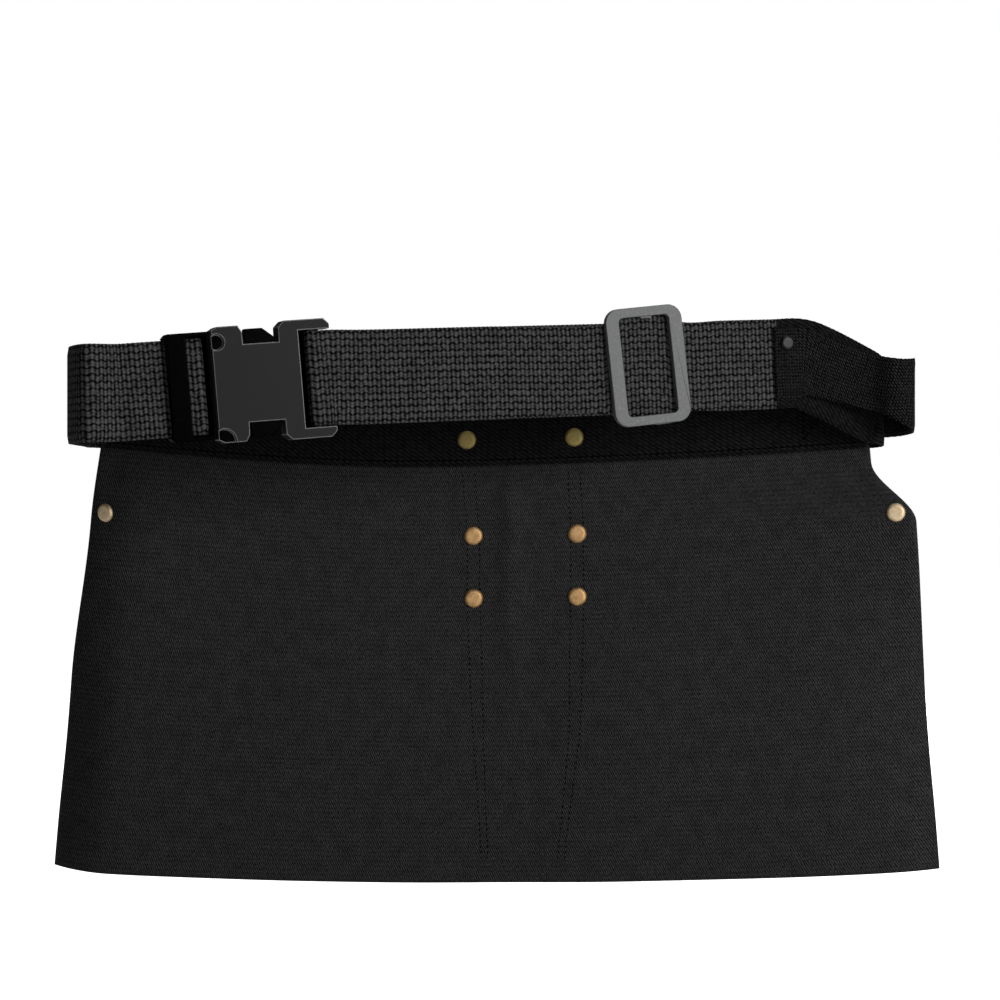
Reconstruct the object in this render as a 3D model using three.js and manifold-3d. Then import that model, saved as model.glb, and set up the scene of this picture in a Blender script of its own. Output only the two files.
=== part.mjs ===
// A carpenter's canvas nail apron on a webbing belt, fastened and held up as it is worn.
// Millimetres, +Z up, +X to the wearer's right hand in this view, -Y towards the wearer's back.
// The origin is the middle of the waist loop, level with the middle of the band at its lowest point.
import * as THREE from "three";
import { mergeVertices } from "three/addons/utils/BufferGeometryUtils.js";
import Module from "manifold-3d";

const wasm = await Module();
wasm.setup();

// Cloth and webbing
const GAP = 0.3; // clearance between pieces that lie on each other
const CLOTH_GAP = 0.5; // canvas layers lie a little looser
const WEBBING_WIDTH = 50;
const WEBBING_THICKNESS = 2.2;
const PANEL_THICKNESS = 1.8;
const POUCH_THICKNESS = 1.5;

// Canvas panel
const PANEL_HEIGHT = 285;
const FLARE_LEFT = 30; // how far the left edge runs outwards down to the hem
const FLARE_RIGHT = 27;
const SHOULDER_LEFT = 5; // how far it steps out below the belt
const SHOULDER_RIGHT = 22;
const STEP_LEFT = { from: 0.3, to: 0.62 }; // where it steps out, as shares of the way down
const STEP_RIGHT = { from: 0.185, to: 0.3 };
const SHOULDER_HUG = 6; // how closely the steps keep to the side edges
const HEM_DIP = 6.5; // how much lower the hem is in its middle than at its corners
const TOP_TURN = 5; // the canvas stops this far under the band's upper edge
const EDGE_ROLL = 14; // how far the side edges turn away from the wearer
const FOLD_DEPTH = 3; // the soft upright fold right of the left seam
const FOLD_ACROSS = 0.518; // where that fold runs, as a share of the width
const FOLD_REACH = 0.09; // half the fold's width, as a share of the width

// Waistband and belt loop
const LOOP_DEPTH = 147; // the band's middle to the buckle, front to back
const BAND_BACK = 70; // the band's middle, behind the loop's middle
const BAND_BOW = 15; // how far the band's ends come forward
const BAND_RISE = 10.6; // how far the band's ends stand above its lowest point
const BAND_LOW_ACROSS = 0.385; // where its lowest point is, as a share of its length
const BAND_LENGTH = 428; // also the canvas panel's width along its top
const BAND_CENTRE = -8; // the band's middle, to the right of the loop's middle
const STRAP_OVERLAP = 38; // length of belt sewn on behind each end of the band

// Near run of the belt, from the buckle's joint towards the right
const NEAR_START = new THREE.Vector3(-148.8, BAND_BACK - LOOP_DEPTH, 17.4);
const NEAR_HEADING = THREE.MathUtils.degToRad(19);
const NEAR_SLOPE = THREE.MathUtils.degToRad(2.6);

// Pouches, pockets and sleeve
const POUCH_MOUTH_DROP = 76; // below the panel's top edge
const POUCH_DEPTH = 42; // how far a pouch stands off the panel
const POCKET_MOUTH_DROP = 116;
const POCKET_DEPTH = 22;
const POCKET_FOOT = 0.6; // where a front pocket ends, as a share of the way down its pouch
const POCKET_SHARE = 0.62; // a front pocket's width as a share of its pouch
const SLEEVE_TOP_DROP = 17;
const SLEEVE_DEPTH = 13;
const SEAM_MARGIN = 5; // cloth outside a seam's centre line
const SIDE_MARGIN = 3; // panel left bare outside a pouch's outer edge
const HEM_MARGIN = 6;
const FLANGE = 13; // flat edge of a pouch that is sewn down
const SEAMS = [
  { down: 0, left: 0.471, right: 0.617 },
  { down: 0.11, left: 0.475, right: 0.617 },
  { down: 0.3, left: 0.484, right: 0.616 },
  { down: 0.43, left: 0.485, right: 0.615 },
  { down: 0.7, left: 0.492, right: 0.609 },
  { down: 0.9, left: 0.499, right: 0.594 },
  { down: 1, left: 0.502, right: 0.588 },
];

// Rivets
const RIVET_HEAD = 10.8; // diameter
const RIVET_DOME = 1.5;
const RIVET_SHANK = 4; // diameter
const LOOP_RIVET_HEAD = 8.6;

// Buckle
const BUCKLE_FACE = 46.5; // length of the socket's face along the belt
const BUCKLE_SLOT = 4; // between the face and the belt that turns round the socket's bar
const BUCKLE_LEAN = THREE.MathUtils.degToRad(2.3); // the buckle hangs down towards the left
const SOCKET_LENGTH = 63.5;
const SOCKET_HALF_HEIGHT = 30.2;
const LUG_HALF_HEIGHT = 31.2;
const THUMB_NOTCH = 4.2; // radius of the round notch at the socket's upper left corner
const FOOT_NOTCH = 6.5; // radius of the one at its lower left corner
const SOCKET_FRONT = 4.5;
const SOCKET_BACK = 7;
const SOCKET_WALL = 2.6;
const PLUG_LENGTH = 25.2;
const PLUG_HALF_HEIGHT = 28;
const PLUG_WIDE_BAR = 10;
const PLUG_SHOULDER = 3; // solid strip of the plug beside the socket
const PLUG_REACH = 41; // the arms' length inside the socket
const GRIP_START = 17; // where the arms' grips begin, from the joint
const GRIP_LENGTH = 18;
const GRIP_HALF_HEIGHT = 28.3;
const CAVITY_HALF_HEIGHT = 21;
const BAR_RADIUS = 1.5;
const WEBBING_ROOM = 0.6; // between a strap's edge and the rail beside it

// Slider
const SLIDER_PLACE = 242; // its middle, along the near run
const SLIDER_RAISE = 1.2;
const SLIDER_LEAN = THREE.MathUtils.degToRad(4);
const SLIDER_OPENING = 29.6;
const SLIDER_SIDE_BAR = 7.7;
const SLIDER_END_BAR = 5.2;
const SLIDER_THICKNESS = 3.8;
const SLIDER_CORNER = 8;
const SLIDER_MIDDLE_BAR = 1.8; // radius

// Hammer loop
const LOOP_WIDTH = 41;
const LOOP_THICKNESS = 1.8;
const LOOP_START = 319; // along the near run
const LOOP_LEAVES = 350;
const LOOP_REACH = 233; // how far right the loop stands out
const LOOP_RIVET_ALONG = 326.5;
const LOOP_RIVET_UP = 11.5;

// Materials
const finish = (color, roughness, metalness = 0) =>
  new THREE.MeshStandardMaterial({ color, roughness, metalness });
const CANVAS = finish(0x1e1e1e, 0.95);
const WEBBING = finish(0x242424, 0.85);
const NYLON = finish(0x141414, 0.7);
const BLACK_PLASTIC = finish(0x1b1c1d, 0.35);
const GREY_PLASTIC = finish(0x63656a, 0.45);
const BRASS = finish(0xb08c52, 0.4, 1);
const BLACK_METAL = finish(0x1a1a1a, 0.35, 0.8);

const { lerp, smoothstep } = THREE.MathUtils;
const UP = new THREE.Vector3(0, 0, 1);

// Interpolates one column of a table of rows that are keyed by another column.
function column(rows, key, name, at) {
  let index = 1;
  while (index < rows.length - 1 && rows[index][key] < at) index += 1;
  const before = rows[index - 1];
  const after = rows[index];
  const share = (at - before[key]) / (after[key] - before[key]);
  return lerp(before[name], after[name], THREE.MathUtils.clamp(share, 0, 1));
}

// Turns a geometry's faces outwards and welds its corners.
function closed(geometry) {
  geometry.deleteAttribute("normal");
  geometry.deleteAttribute("uv");
  geometry.clearGroups();
  const welded = mergeVertices(geometry, 1e-3);
  const corners = [new THREE.Vector3(), new THREE.Vector3(), new THREE.Vector3()];
  let volume = 0;
  for (let i = 0; i < welded.index.count; i += 3) {
    corners.forEach((corner, k) => corner.fromBufferAttribute(welded.attributes.position, welded.index.getX(i + k)));
    volume += corners[0].dot(corners[1].clone().cross(corners[2]));
  }
  if (volume < 0) welded.setIndex(Array.from(welded.index.array).reverse());
  return welded;
}

const toSolid = (geometry) => {
  const welded = closed(geometry);
  return new wasm.Manifold(
    new wasm.Mesh({
      numProp: 3,
      vertProperties: new Float32Array(welded.attributes.position.array),
      triVerts: new Uint32Array(welded.index.array),
    }),
  );
};

function toGeometry(solid) {
  const mesh = solid.getMesh();
  const geometry = new THREE.BufferGeometry();
  geometry.setAttribute("position", new THREE.BufferAttribute(mesh.vertProperties, 3));
  geometry.setIndex(new THREE.BufferAttribute(mesh.triVerts, 1));
  return geometry;
}

const join = (...parts) => toGeometry(parts.map(toSolid).reduce((whole, part) => whole.add(part)));
const cut = (body, ...tools) =>
  toGeometry(tools.map(toSolid).reduce((left, tool) => left.subtract(tool), toSolid(body)));

// A block between two corners, given as [low, high] along each axis.
function block([x0, x1], [y0, y1], [z0, z1]) {
  const box = new THREE.BoxGeometry(x1 - x0, y1 - y0, z1 - z0);
  return box.translate((x0 + x1) / 2, (y0 + y1) / 2, (z0 + z1) / 2);
}

const EDGE_CROWDING = 0.55;

// A sheet of even thickness laid on surface(u, v): u runs left to right and v runs down.
// Its steps crowd towards its side edges, where cloth turns most.
function sheet(surface, thickness, stepsAcross, stepsDown) {
  const box = new THREE.BoxGeometry(1, 1, 1, stepsAcross, 1, stepsDown);
  const corners = box.attributes.position;
  for (let i = 0; i < corners.count; i += 1) {
    const across = corners.getX(i) + 0.5;
    const u = across - (EDGE_CROWDING * Math.sin(2 * Math.PI * across)) / (2 * Math.PI);
    const v = 0.5 - corners.getZ(i);
    const point = offSurface(surface, u, v, corners.getY(i) * thickness);
    corners.setXYZ(i, point.x, point.y, point.z);
  }
  return box;
}

// The outward direction of a surface, away from the wearer.
function outwards(surface, u, v) {
  const step = 0.004;
  const across = surface(Math.min(u + step, 1), v).sub(surface(Math.max(u - step, 0), v));
  const down = surface(u, Math.min(v + step, 1)).sub(surface(u, Math.max(v - step, 0)));
  return across.cross(down).normalize();
}

const offSurface = (surface, u, v, distance) =>
  surface(u, v).addScaledVector(outwards(surface, u, v), distance);

// A strap that follows stations { point, width, upright }, standing on edge.
function strap(stations, thickness) {
  const last = stations.length - 1;
  const box = new THREE.BoxGeometry(1, 1, 1, last, 1, 1);
  const corners = box.attributes.position;
  for (let i = 0; i < corners.count; i += 1) {
    const index = Math.round((corners.getX(i) + 0.5) * last);
    const { point, width, upright: lean = UP } = stations[index];
    const before = stations[Math.max(index - 1, 0)].point;
    const after = stations[Math.min(index + 1, last)].point;
    const along = after.clone().sub(before).normalize();
    const upright = lean.clone().addScaledVector(along, -along.dot(lean)).normalize();
    const side = upright.clone().cross(along);
    const place = point.clone();
    place.addScaledVector(side, corners.getY(i) * thickness);
    place.addScaledVector(upright, corners.getZ(i) * width);
    corners.setXYZ(i, place.x, place.y, place.z);
  }
  return box;
}

// A smooth curve of points through a few, about one point for each step of length.
function smoothRun(points, step) {
  const curve = new THREE.CatmullRomCurve3(points, false, "centripetal");
  return curve.getSpacedPoints(Math.ceil(curve.getLength() / step));
}

const BAND_LEFT = BAND_CENTRE - BAND_LENGTH / 2;
const BAND_RIGHT = BAND_CENTRE + BAND_LENGTH / 2;
const HALF_LOOP = BAND_LENGTH / 2;

// The band's plan and height. Share runs from 0 at its left end to 1 at its right end.
function bandPoint(share, behind = 0) {
  const across = 2 * share - 1;
  const x = lerp(BAND_LEFT, BAND_RIGHT, share);
  const y = BAND_BACK - BAND_BOW * Math.abs(across) ** 3;
  const reach = share < BAND_LOW_ACROSS ? BAND_LOW_ACROSS : 1 - BAND_LOW_ACROSS;
  const z = BAND_RISE * (Math.abs(share - BAND_LOW_ACROSS) / reach) ** 1.6;
  const turn = Math.atan((6 * BAND_BOW * across * Math.abs(across)) / BAND_LENGTH);
  return new THREE.Vector3(x + behind * Math.sin(turn), y + behind * Math.cos(turn), z);
}

// Layer stack behind the band, front to back
const PANEL_LAYER = WEBBING_THICKNESS / 2 + GAP + PANEL_THICKNESS / 2;
const STRAP_END_LAYER = PANEL_LAYER + PANEL_THICKNESS / 2 + GAP + WEBBING_THICKNESS / 2;
const LOOP_END_LAYER = STRAP_END_LAYER + WEBBING_THICKNESS / 2 + GAP + LOOP_THICKNESS / 2;

// The middle of the canvas panel.
function panelSurface(u, v) {
  const left = SHOULDER_LEFT * smoothstep(v, STEP_LEFT.from, STEP_LEFT.to) * (1 - u) ** SHOULDER_HUG;
  const right = SHOULDER_RIGHT * smoothstep(v, STEP_RIGHT.from, STEP_RIGHT.to) * u ** SHOULDER_HUG;
  const flare = lerp(-FLARE_LEFT * v, FLARE_RIGHT * v, u) - left + right;
  const top = bandPoint(u + flare / BAND_LENGTH, PANEL_LAYER);
  const below = smoothstep(v, 0.19, 0.8);
  const across = 2 * u - 1;
  const roll = EDGE_ROLL * Math.abs(across) ** 14 * below;
  const fold = FOLD_DEPTH * Math.exp(-(((u - FOLD_ACROSS) / FOLD_REACH) ** 2)) * smoothstep(v, 0.1, 0.6);
  const topEdge = bandPoint(u).z + WEBBING_WIDTH / 2 - TOP_TURN;
  const dip = BAND_RISE + HEM_DIP * (1 - across ** 2);
  const hem = WEBBING_WIDTH / 2 - TOP_TURN - PANEL_HEIGHT + BAND_RISE - dip + HEM_DIP;
  return new THREE.Vector3(
    top.x,
    lerp(top.y, BAND_BACK + PANEL_LAYER, below) + roll + fold,
    lerp(topEdge, hem, v),
  );
}

const share = (drop) => drop / PANEL_HEIGHT;
const marginShare = (size) => size / BAND_LENGTH;
const layerBehindPanel = (layers) =>
  PANEL_THICKNESS / 2 + CLOTH_GAP + POUCH_THICKNESS / 2 + (layers - 1) * (POUCH_THICKNESS + CLOTH_GAP);

// How far a pouch swells at a place, from 0 on its flanges to 1 in its middle.
function swell(across, down, flange) {
  const edge = Math.min(across, 1 - across);
  const sides = smoothstep(edge, flange, flange + 0.26);
  const foot = 1 - smoothstep(down, 0.68, 0.965);
  return sides * foot * (0.86 + 0.14 * Math.sin(Math.PI * Math.min(1, down + 0.25)));
}

// A pouch sewn on the panel. outer and inner name its two upright edges as shares at a drop v.
function pouchSurface(leftEdge, rightEdge, topDrop, depth, layerAt, scaleDown = 1) {
  const top = share(topDrop);
  const bottom = 1 - share(HEM_MARGIN) * scaleDown;
  return (across, down) => {
    const v = lerp(top, bottom, down);
    const u = lerp(leftEdge(v), rightEdge(v), across);
    const width = (rightEdge(v) - leftEdge(v)) * BAND_LENGTH;
    const point = offSurface(panelSurface, u, v, layerBehindPanel(layerAt(across)));
    point.y += depth * swell(across, down, FLANGE / width);
    return point;
  };
}

const seamLeft = (v) => column(SEAMS, "down", "left", v);
const seamRight = (v) => column(SEAMS, "down", "right", v);
const seamCloth = marginShare(SEAM_MARGIN);
const sideCloth = marginShare(SIDE_MARGIN);

const sleeveSurface = pouchSurface(
  (v) => seamLeft(v) - seamCloth,
  (v) => seamRight(v) + seamCloth,
  SLEEVE_TOP_DROP,
  SLEEVE_DEPTH,
  () => 1,
  4,
);
const leftPouchSurface = pouchSurface(
  () => sideCloth,
  (v) => seamLeft(v) + seamCloth,
  POUCH_MOUTH_DROP,
  POUCH_DEPTH,
  (across) => 1 + smoothstep(across, 0.1, 0.9),
);
const rightPouchSurface = pouchSurface(
  (v) => seamRight(v) - seamCloth,
  () => 1 - sideCloth,
  POUCH_MOUTH_DROP,
  POUCH_DEPTH,
  (across) => 2 - smoothstep(across, 0.1, 0.9),
);

// A pocket sewn on a pouch's front, from the pouch's inner edge towards its outer one.
function pocketSurface(pouch, inner, pouchWidth) {
  const top = (POCKET_MOUTH_DROP - POUCH_MOUTH_DROP) / (PANEL_HEIGHT - POUCH_MOUTH_DROP - HEM_MARGIN);
  const start = inner > 0.5 ? 1 - POCKET_SHARE : 0.004;
  const end = inner > 0.5 ? 0.996 : POCKET_SHARE;
  const width = POCKET_SHARE * pouchWidth * BAND_LENGTH;
  return (across, down) => {
    const layer = POUCH_THICKNESS + CLOTH_GAP * (1 + 1.5 * down);
    const point = offSurface(pouch, lerp(start, end, across), lerp(top, POCKET_FOOT, down), layer);
    point.y += POCKET_DEPTH * swell(across, down, FLANGE / width);
    return point;
  };
}
const leftPocketSurface = pocketSurface(leftPouchSurface, 1, seamLeft(0.5));
const rightPocketSurface = pocketSurface(rightPouchSurface, 0, 1 - seamRight(0.5));

// Rivets: the place on the panel, and how many layers each one clamps behind and before the panel
const BAND_RIVET_DROP = 30;
const EDGE_RIVET_DROP = POUCH_MOUTH_DROP + 4;
const MOUTH_RIVET_DROP = POUCH_MOUTH_DROP + 9;
const POCKET_RIVET_DROP = POCKET_MOUTH_DROP + 5;
const EDGE_RIVET_SHARE = marginShare(SIDE_MARGIN + 4);
const RIVETS = [
  { name: "rivet_band_left", across: seamLeft, drop: BAND_RIVET_DROP, layers: 1, band: true },
  { name: "rivet_band_right", across: seamRight, drop: BAND_RIVET_DROP, layers: 1, band: true },
  { name: "rivet_mouth_left", across: seamLeft, drop: MOUTH_RIVET_DROP, layers: 2, band: false },
  { name: "rivet_mouth_right", across: seamRight, drop: MOUTH_RIVET_DROP, layers: 2, band: false },
  { name: "rivet_pocket_left", across: seamLeft, drop: POCKET_RIVET_DROP, layers: 3, band: false },
  { name: "rivet_pocket_right", across: seamRight, drop: POCKET_RIVET_DROP, layers: 3, band: false },
  { name: "rivet_edge_left", across: () => EDGE_RIVET_SHARE, drop: EDGE_RIVET_DROP, layers: 1, band: false },
  { name: "rivet_edge_right", across: () => 1 - EDGE_RIVET_SHARE, drop: EDGE_RIVET_DROP, layers: 1, band: false },
];

// A two-headed rivet whose shank runs along +Y from 0 to its grip.
function rivetBody(head, grip) {
  const r = head / 2;
  const shank = RIVET_SHANK / 2;
  const rim = RIVET_DOME * 0.3;
  const low = -GAP;
  const high = grip + GAP;
  const outline = [
    [0, low - RIVET_DOME],
    [r * 0.7, low - RIVET_DOME * 0.8],
    [r, low - rim],
    [r, low],
    [shank, low],
    [shank, high],
    [r, high],
    [r, high + rim],
    [r * 0.7, high + RIVET_DOME * 0.8],
    [0, high + RIVET_DOME],
  ].map(([radius, y]) => new THREE.Vector2(radius, y));
  return new THREE.LatheGeometry(outline, 10);
}

const drillBody = (length) =>
  new THREE.CylinderGeometry(RIVET_SHANK / 2 + GAP, RIVET_SHANK / 2 + GAP, length, 8);

// Stands a piece that was made along +Y on a point, along a direction.
function standOn(geometry, point, direction) {
  const turn = new THREE.Quaternion().setFromUnitVectors(new THREE.Vector3(0, 1, 0), direction);
  return geometry.applyQuaternion(turn).translate(point.x, point.y, point.z);
}

for (const rivet of RIVETS) {
  const v = share(rivet.drop);
  const u = rivet.across(v);
  rivet.direction = outwards(panelSurface, u, v);
  const before = PANEL_THICKNESS / 2 + (rivet.band ? GAP + WEBBING_THICKNESS : 0);
  const behind = PANEL_THICKNESS / 2 + rivet.layers * (POUCH_THICKNESS + CLOTH_GAP);
  rivet.start = offSurface(panelSurface, u, v, -before);
  rivet.grip = before + behind;
}

const RIVET_DRILL = 24;
const drillFor = (names) =>
  RIVETS.filter((rivet) => names.some((name) => rivet.name.includes(name))).map((rivet) =>
    standOn(drillBody(RIVET_DRILL), rivet.start, rivet.direction),
  );

const apron = new THREE.Group();
const addPiece = (name, geometry, material, parent = apron) => {
  const mesh = new THREE.Mesh(closed(geometry), material);
  mesh.name = name;
  parent.add(mesh);
};

// Canvas pieces
addPiece("back_panel", cut(sheet(panelSurface, PANEL_THICKNESS, 28, 14), ...drillFor(["rivet"])), CANVAS);
addPiece(
  "centre_sleeve",
  cut(sheet(sleeveSurface, POUCH_THICKNESS, 12, 12), ...drillFor(["band", "mouth", "pocket"])),
  CANVAS,
);
const POUCHES = [
  { side: "left", pouch: leftPouchSurface, pocket: leftPocketSurface },
  { side: "right", pouch: rightPouchSurface, pocket: rightPocketSurface },
];
for (const { side, pouch, pocket } of POUCHES) {
  const pouchDrills = drillFor([`mouth_${side}`, `pocket_${side}`, `edge_${side}`]);
  addPiece(`${side}_pouch`, cut(sheet(pouch, POUCH_THICKNESS, 20, 14), ...pouchDrills), CANVAS);
  const pocketDrills = drillFor([`pocket_${side}`]);
  addPiece(`${side}_front_pocket`, cut(sheet(pocket, POUCH_THICKNESS, 14, 10), ...pocketDrills), CANVAS);
}

// Waistband
const BAND_STEPS = 26;
const bandStations = Array.from({ length: BAND_STEPS + 1 }, (_, i) => ({
  point: bandPoint(i / BAND_STEPS),
  width: WEBBING_WIDTH,
}));
addPiece("waistband", cut(strap(bandStations, WEBBING_THICKNESS), ...drillFor(["band"])), WEBBING);

for (const rivet of RIVETS) {
  addPiece(rivet.name, standOn(rivetBody(RIVET_HEAD, rivet.grip), rivet.start, rivet.direction), BRASS);
}

// The near run's own frame: x along the belt, -y towards the wearer's back, z up.
const nearRun = new THREE.Group();
nearRun.position.copy(NEAR_START);
nearRun.rotation.set(0, -NEAR_SLOPE, NEAR_HEADING, "ZYX");
apron.add(nearRun);
nearRun.updateMatrixWorld(true);
const NEAR_UP = new THREE.Vector3(0, 0, 1).transformDirection(nearRun.matrixWorld);
const near = (along, out, up = 0) => nearRun.localToWorld(new THREE.Vector3(along, -out, up));

// Points of a half turn round a bar, starting behind it. toRight says which way it bulges.
function halfTurn(place, along, out, radius, toRight) {
  const sign = toRight ? 1 : -1;
  return [-90, -60, -30, 0, 30, 60, 90].map((degrees) => {
    const angle = THREE.MathUtils.degToRad(degrees);
    return place(along + sign * radius * Math.cos(angle), out + radius * Math.sin(angle));
  });
}
const LAYER = WEBBING_THICKNESS + GAP; // two layers of belt lying on each other
const BAR_OUT = -LAYER / 2;
const BAR_TURN = BAR_RADIUS + 0.4 + WEBBING_THICKNESS / 2;
const SOCKET_BAR = BUCKLE_FACE + BUCKLE_SLOT + BAR_TURN + WEBBING_THICKNESS / 2;

// The buckle's frame: the near run's, leaning about the socket's bar.
const buckleRun = new THREE.Group();
const leaned = new THREE.Vector3(-SOCKET_BAR, 0, 0).applyAxisAngle(new THREE.Vector3(0, 1, 0), -BUCKLE_LEAN);
buckleRun.position.set(SOCKET_BAR + leaned.x, 0, leaned.z);
buckleRun.rotation.y = -BUCKLE_LEAN;
nearRun.add(buckleRun);
nearRun.updateMatrixWorld(true);
const BUCKLE_UP = new THREE.Vector3(0, 0, 1).transformDirection(buckleRun.matrixWorld);
const atBuckle = (along, out, up = 0) => buckleRun.localToWorld(new THREE.Vector3(along, -out, up));

const webbing = (points, upright = UP) => points.map((point) => ({ point, width: WEBBING_WIDTH, upright }));
const overlapShare = STRAP_OVERLAP / BAND_LENGTH;

// Left strap: from the plug's inner bar round the left side to the band's left end.
const PLUG_BAR = -8;
const leftTurn = [
  { across: -0.98, deep: -1.19, up: 10.4 },
  { across: -1.035, deep: -1.05, up: 10.2 },
  { across: -1.06, deep: -0.74, up: 10.4 },
  { across: -1.072, deep: -0.42, up: 10.6 },
  { across: -1.085, deep: -0.24, up: 10.8 },
  { across: -1.09, deep: -0.125, up: 10.8 },
  { across: -1.075, deep: -0.072, up: 10.8 },
].map(({ across, deep, up }) =>
  new THREE.Vector3(across * HALF_LOOP, BAND_BACK + deep * LOOP_DEPTH, up));
const leftBuckleEnd = [
  atBuckle(PLUG_BAR - 30, -LAYER),
  atBuckle(PLUG_BAR - 18, -LAYER),
  atBuckle(PLUG_BAR - 8, BAR_OUT - BAR_TURN * 0.75),
  ...halfTurn(atBuckle, PLUG_BAR, BAR_OUT, BAR_TURN, true),
  atBuckle(PLUG_BAR - 3, 1.1),
  atBuckle(PLUG_BAR - 5.5, 0.45),
  atBuckle(PLUG_BAR - 9, 0.05),
  atBuckle(PLUG_BAR - 14, 0),
  atBuckle(PLUG_BAR - 22, 0),
];
const leftSide = smoothRun(
  [
    atBuckle(PLUG_BAR - 32, 0),
    atBuckle(PLUG_BAR - 42, 0),
    ...leftTurn,
    bandPoint(overlapShare * 0.3, STRAP_END_LAYER + GAP),
    bandPoint(overlapShare * 0.65, STRAP_END_LAYER),
    bandPoint(overlapShare, STRAP_END_LAYER),
  ],
  8,
);
const leftStations = [...webbing(leftBuckleEnd, BUCKLE_UP), ...webbing(leftSide)];
addPiece("belt_left_strap", strap(leftStations, WEBBING_THICKNESS), WEBBING);

// Right strap: sewn round the slider's middle bar, back to the socket's bar, then through the slider
// and round the right end to the band.
const MIDDLE_TURN = SLIDER_MIDDLE_BAR + 0.4 + WEBBING_THICKNESS / 2;
const MIDDLE_OUT = -LAYER - MIDDLE_TURN;
const rightTurn = [
  { across: 0.93, deep: -0.178, up: 19.5 },
  { across: 0.974, deep: -0.15, up: 14.5 },
  { across: 1.009, deep: -0.108, up: 11.6 },
  { across: 0.99, deep: -0.074, up: 10.7 },
].map(({ across, deep, up }) =>
  new THREE.Vector3(across * HALF_LOOP, BAND_BACK + deep * LOOP_DEPTH, up));
const sliderTurn = [
  near(SLIDER_PLACE - 34, -2 * LAYER),
  near(SLIDER_PLACE - 22, -2 * LAYER),
  near(SLIDER_PLACE - 12, MIDDLE_OUT - MIDDLE_TURN * 0.6),
  ...halfTurn(near, SLIDER_PLACE, MIDDLE_OUT, MIDDLE_TURN, true),
  near(SLIDER_PLACE - 20, -LAYER),
  near((SLIDER_PLACE + SOCKET_BAR) / 2, -LAYER),
  near(SOCKET_BAR + 26, -LAYER),
];
const socketTurn = [
  atBuckle(SOCKET_BAR + 9, -LAYER - 0.5),
  atBuckle(SOCKET_BAR + 4, BAR_OUT - BAR_TURN * 0.9),
  ...halfTurn(atBuckle, SOCKET_BAR, BAR_OUT, BAR_TURN, false),
  atBuckle(SOCKET_BAR + 4, 1.4),
  atBuckle(SOCKET_BAR + 9, 0.5),
];
const nearSpan = [
  near(SOCKET_BAR + 26, 0),
  near((SLIDER_PLACE + SOCKET_BAR) / 2, 0),
  near(SLIDER_PLACE, 0),
  near(LOOP_START - 30, 0),
];
const rightSide = smoothRun(
  [
    near(LOOP_START, 0),
    near(LOOP_START + 16, 0),
    near(LOOP_LEAVES - 6, 0, -3),
    ...rightTurn,
    bandPoint(1 - overlapShare * 0.25, STRAP_END_LAYER),
    bandPoint(1 - overlapShare * 0.6, STRAP_END_LAYER),
    bandPoint(1 - overlapShare, STRAP_END_LAYER),
  ],
  7,
);
const rightStations = [
  ...webbing(sliderTurn, NEAR_UP),
  ...webbing(socketTurn, BUCKLE_UP),
  ...webbing(nearSpan, NEAR_UP),
  ...webbing(rightSide),
];
const loopRivetStart = near(LOOP_RIVET_ALONG, WEBBING_THICKNESS / 2 + GAP + LOOP_THICKNESS, LOOP_RIVET_UP);
const loopRivetDirection = near(0, -1).sub(near(0, 0));
const loopRivetDrill = () => standOn(drillBody(RIVET_DRILL), loopRivetStart, loopRivetDirection);
addPiece(
  "belt_right_strap",
  cut(strap(rightStations, WEBBING_THICKNESS), loopRivetDrill()),
  WEBBING,
);

// Hammer loop: riveted on the belt, round the right side, and sewn on behind the band's right end.
const LOOP_OUT = WEBBING_THICKNESS / 2 + GAP + LOOP_THICKNESS / 2;
const loopTurn = [
  { across: 0.893, deep: -0.26, up: 22, wide: 0.76 },
  { across: 0.943, deep: -0.3, up: 19, wide: 0.8 },
  { across: 0.985, deep: -0.28, up: 16.5, wide: 0.94 },
  { across: 1, deep: -0.2, up: 15, wide: 1 },
  { across: 1, deep: -0.1, up: 14, wide: 1 },
  { across: 0.978, deep: -0.025, up: 13, wide: 1 },
  { across: 0.93, deep: -0.01, up: 12, wide: 1 },
];
const loopRoute = [
  { point: near(LOOP_START, LOOP_OUT), wide: 1 },
  { point: near(LOOP_START + 9, LOOP_OUT), wide: 1 },
  { point: near(LOOP_START + 18, LOOP_OUT + 0.2), wide: 0.97 },
  { point: near(LOOP_LEAVES - 6, LOOP_OUT + 1.5, -2), wide: 0.86 },
  ...loopTurn.map(({ across, deep, up, wide }) => ({
    point: new THREE.Vector3(across * LOOP_REACH, BAND_BACK + deep * LOOP_DEPTH, up),
    wide,
  })),
  { point: bandPoint(1 - overlapShare * 0.25, LOOP_END_LAYER + 2 * GAP), wide: 1 },
  { point: bandPoint(1 - overlapShare * 0.55, LOOP_END_LAYER + GAP), wide: 1 },
  { point: bandPoint(1 - overlapShare * 0.85, LOOP_END_LAYER + GAP), wide: 1 },
];
const loopCurve = new THREE.CatmullRomCurve3(loopRoute.map((stop) => stop.point), false, "centripetal");
const LOOP_STEPS = 34;
const loopStations = Array.from({ length: LOOP_STEPS + 1 }, (_, i) => {
  const at = loopCurve.getUtoTmapping(i / LOOP_STEPS) * (loopRoute.length - 1);
  const before = Math.min(Math.floor(at), loopRoute.length - 2);
  const wide = lerp(loopRoute[before].wide, loopRoute[before + 1].wide, at - before);
  return { point: loopCurve.getPoint(at / (loopRoute.length - 1)), width: LOOP_WIDTH * wide };
});
addPiece("hammer_loop", cut(strap(loopStations, LOOP_THICKNESS), loopRivetDrill()), NYLON);
const loopRivetGrip = LOOP_THICKNESS + GAP + WEBBING_THICKNESS;
addPiece(
  "hammer_loop_rivet",
  standOn(rivetBody(LOOP_RIVET_HEAD, loopRivetGrip), loopRivetStart, loopRivetDirection),
  BLACK_METAL,
);

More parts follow.
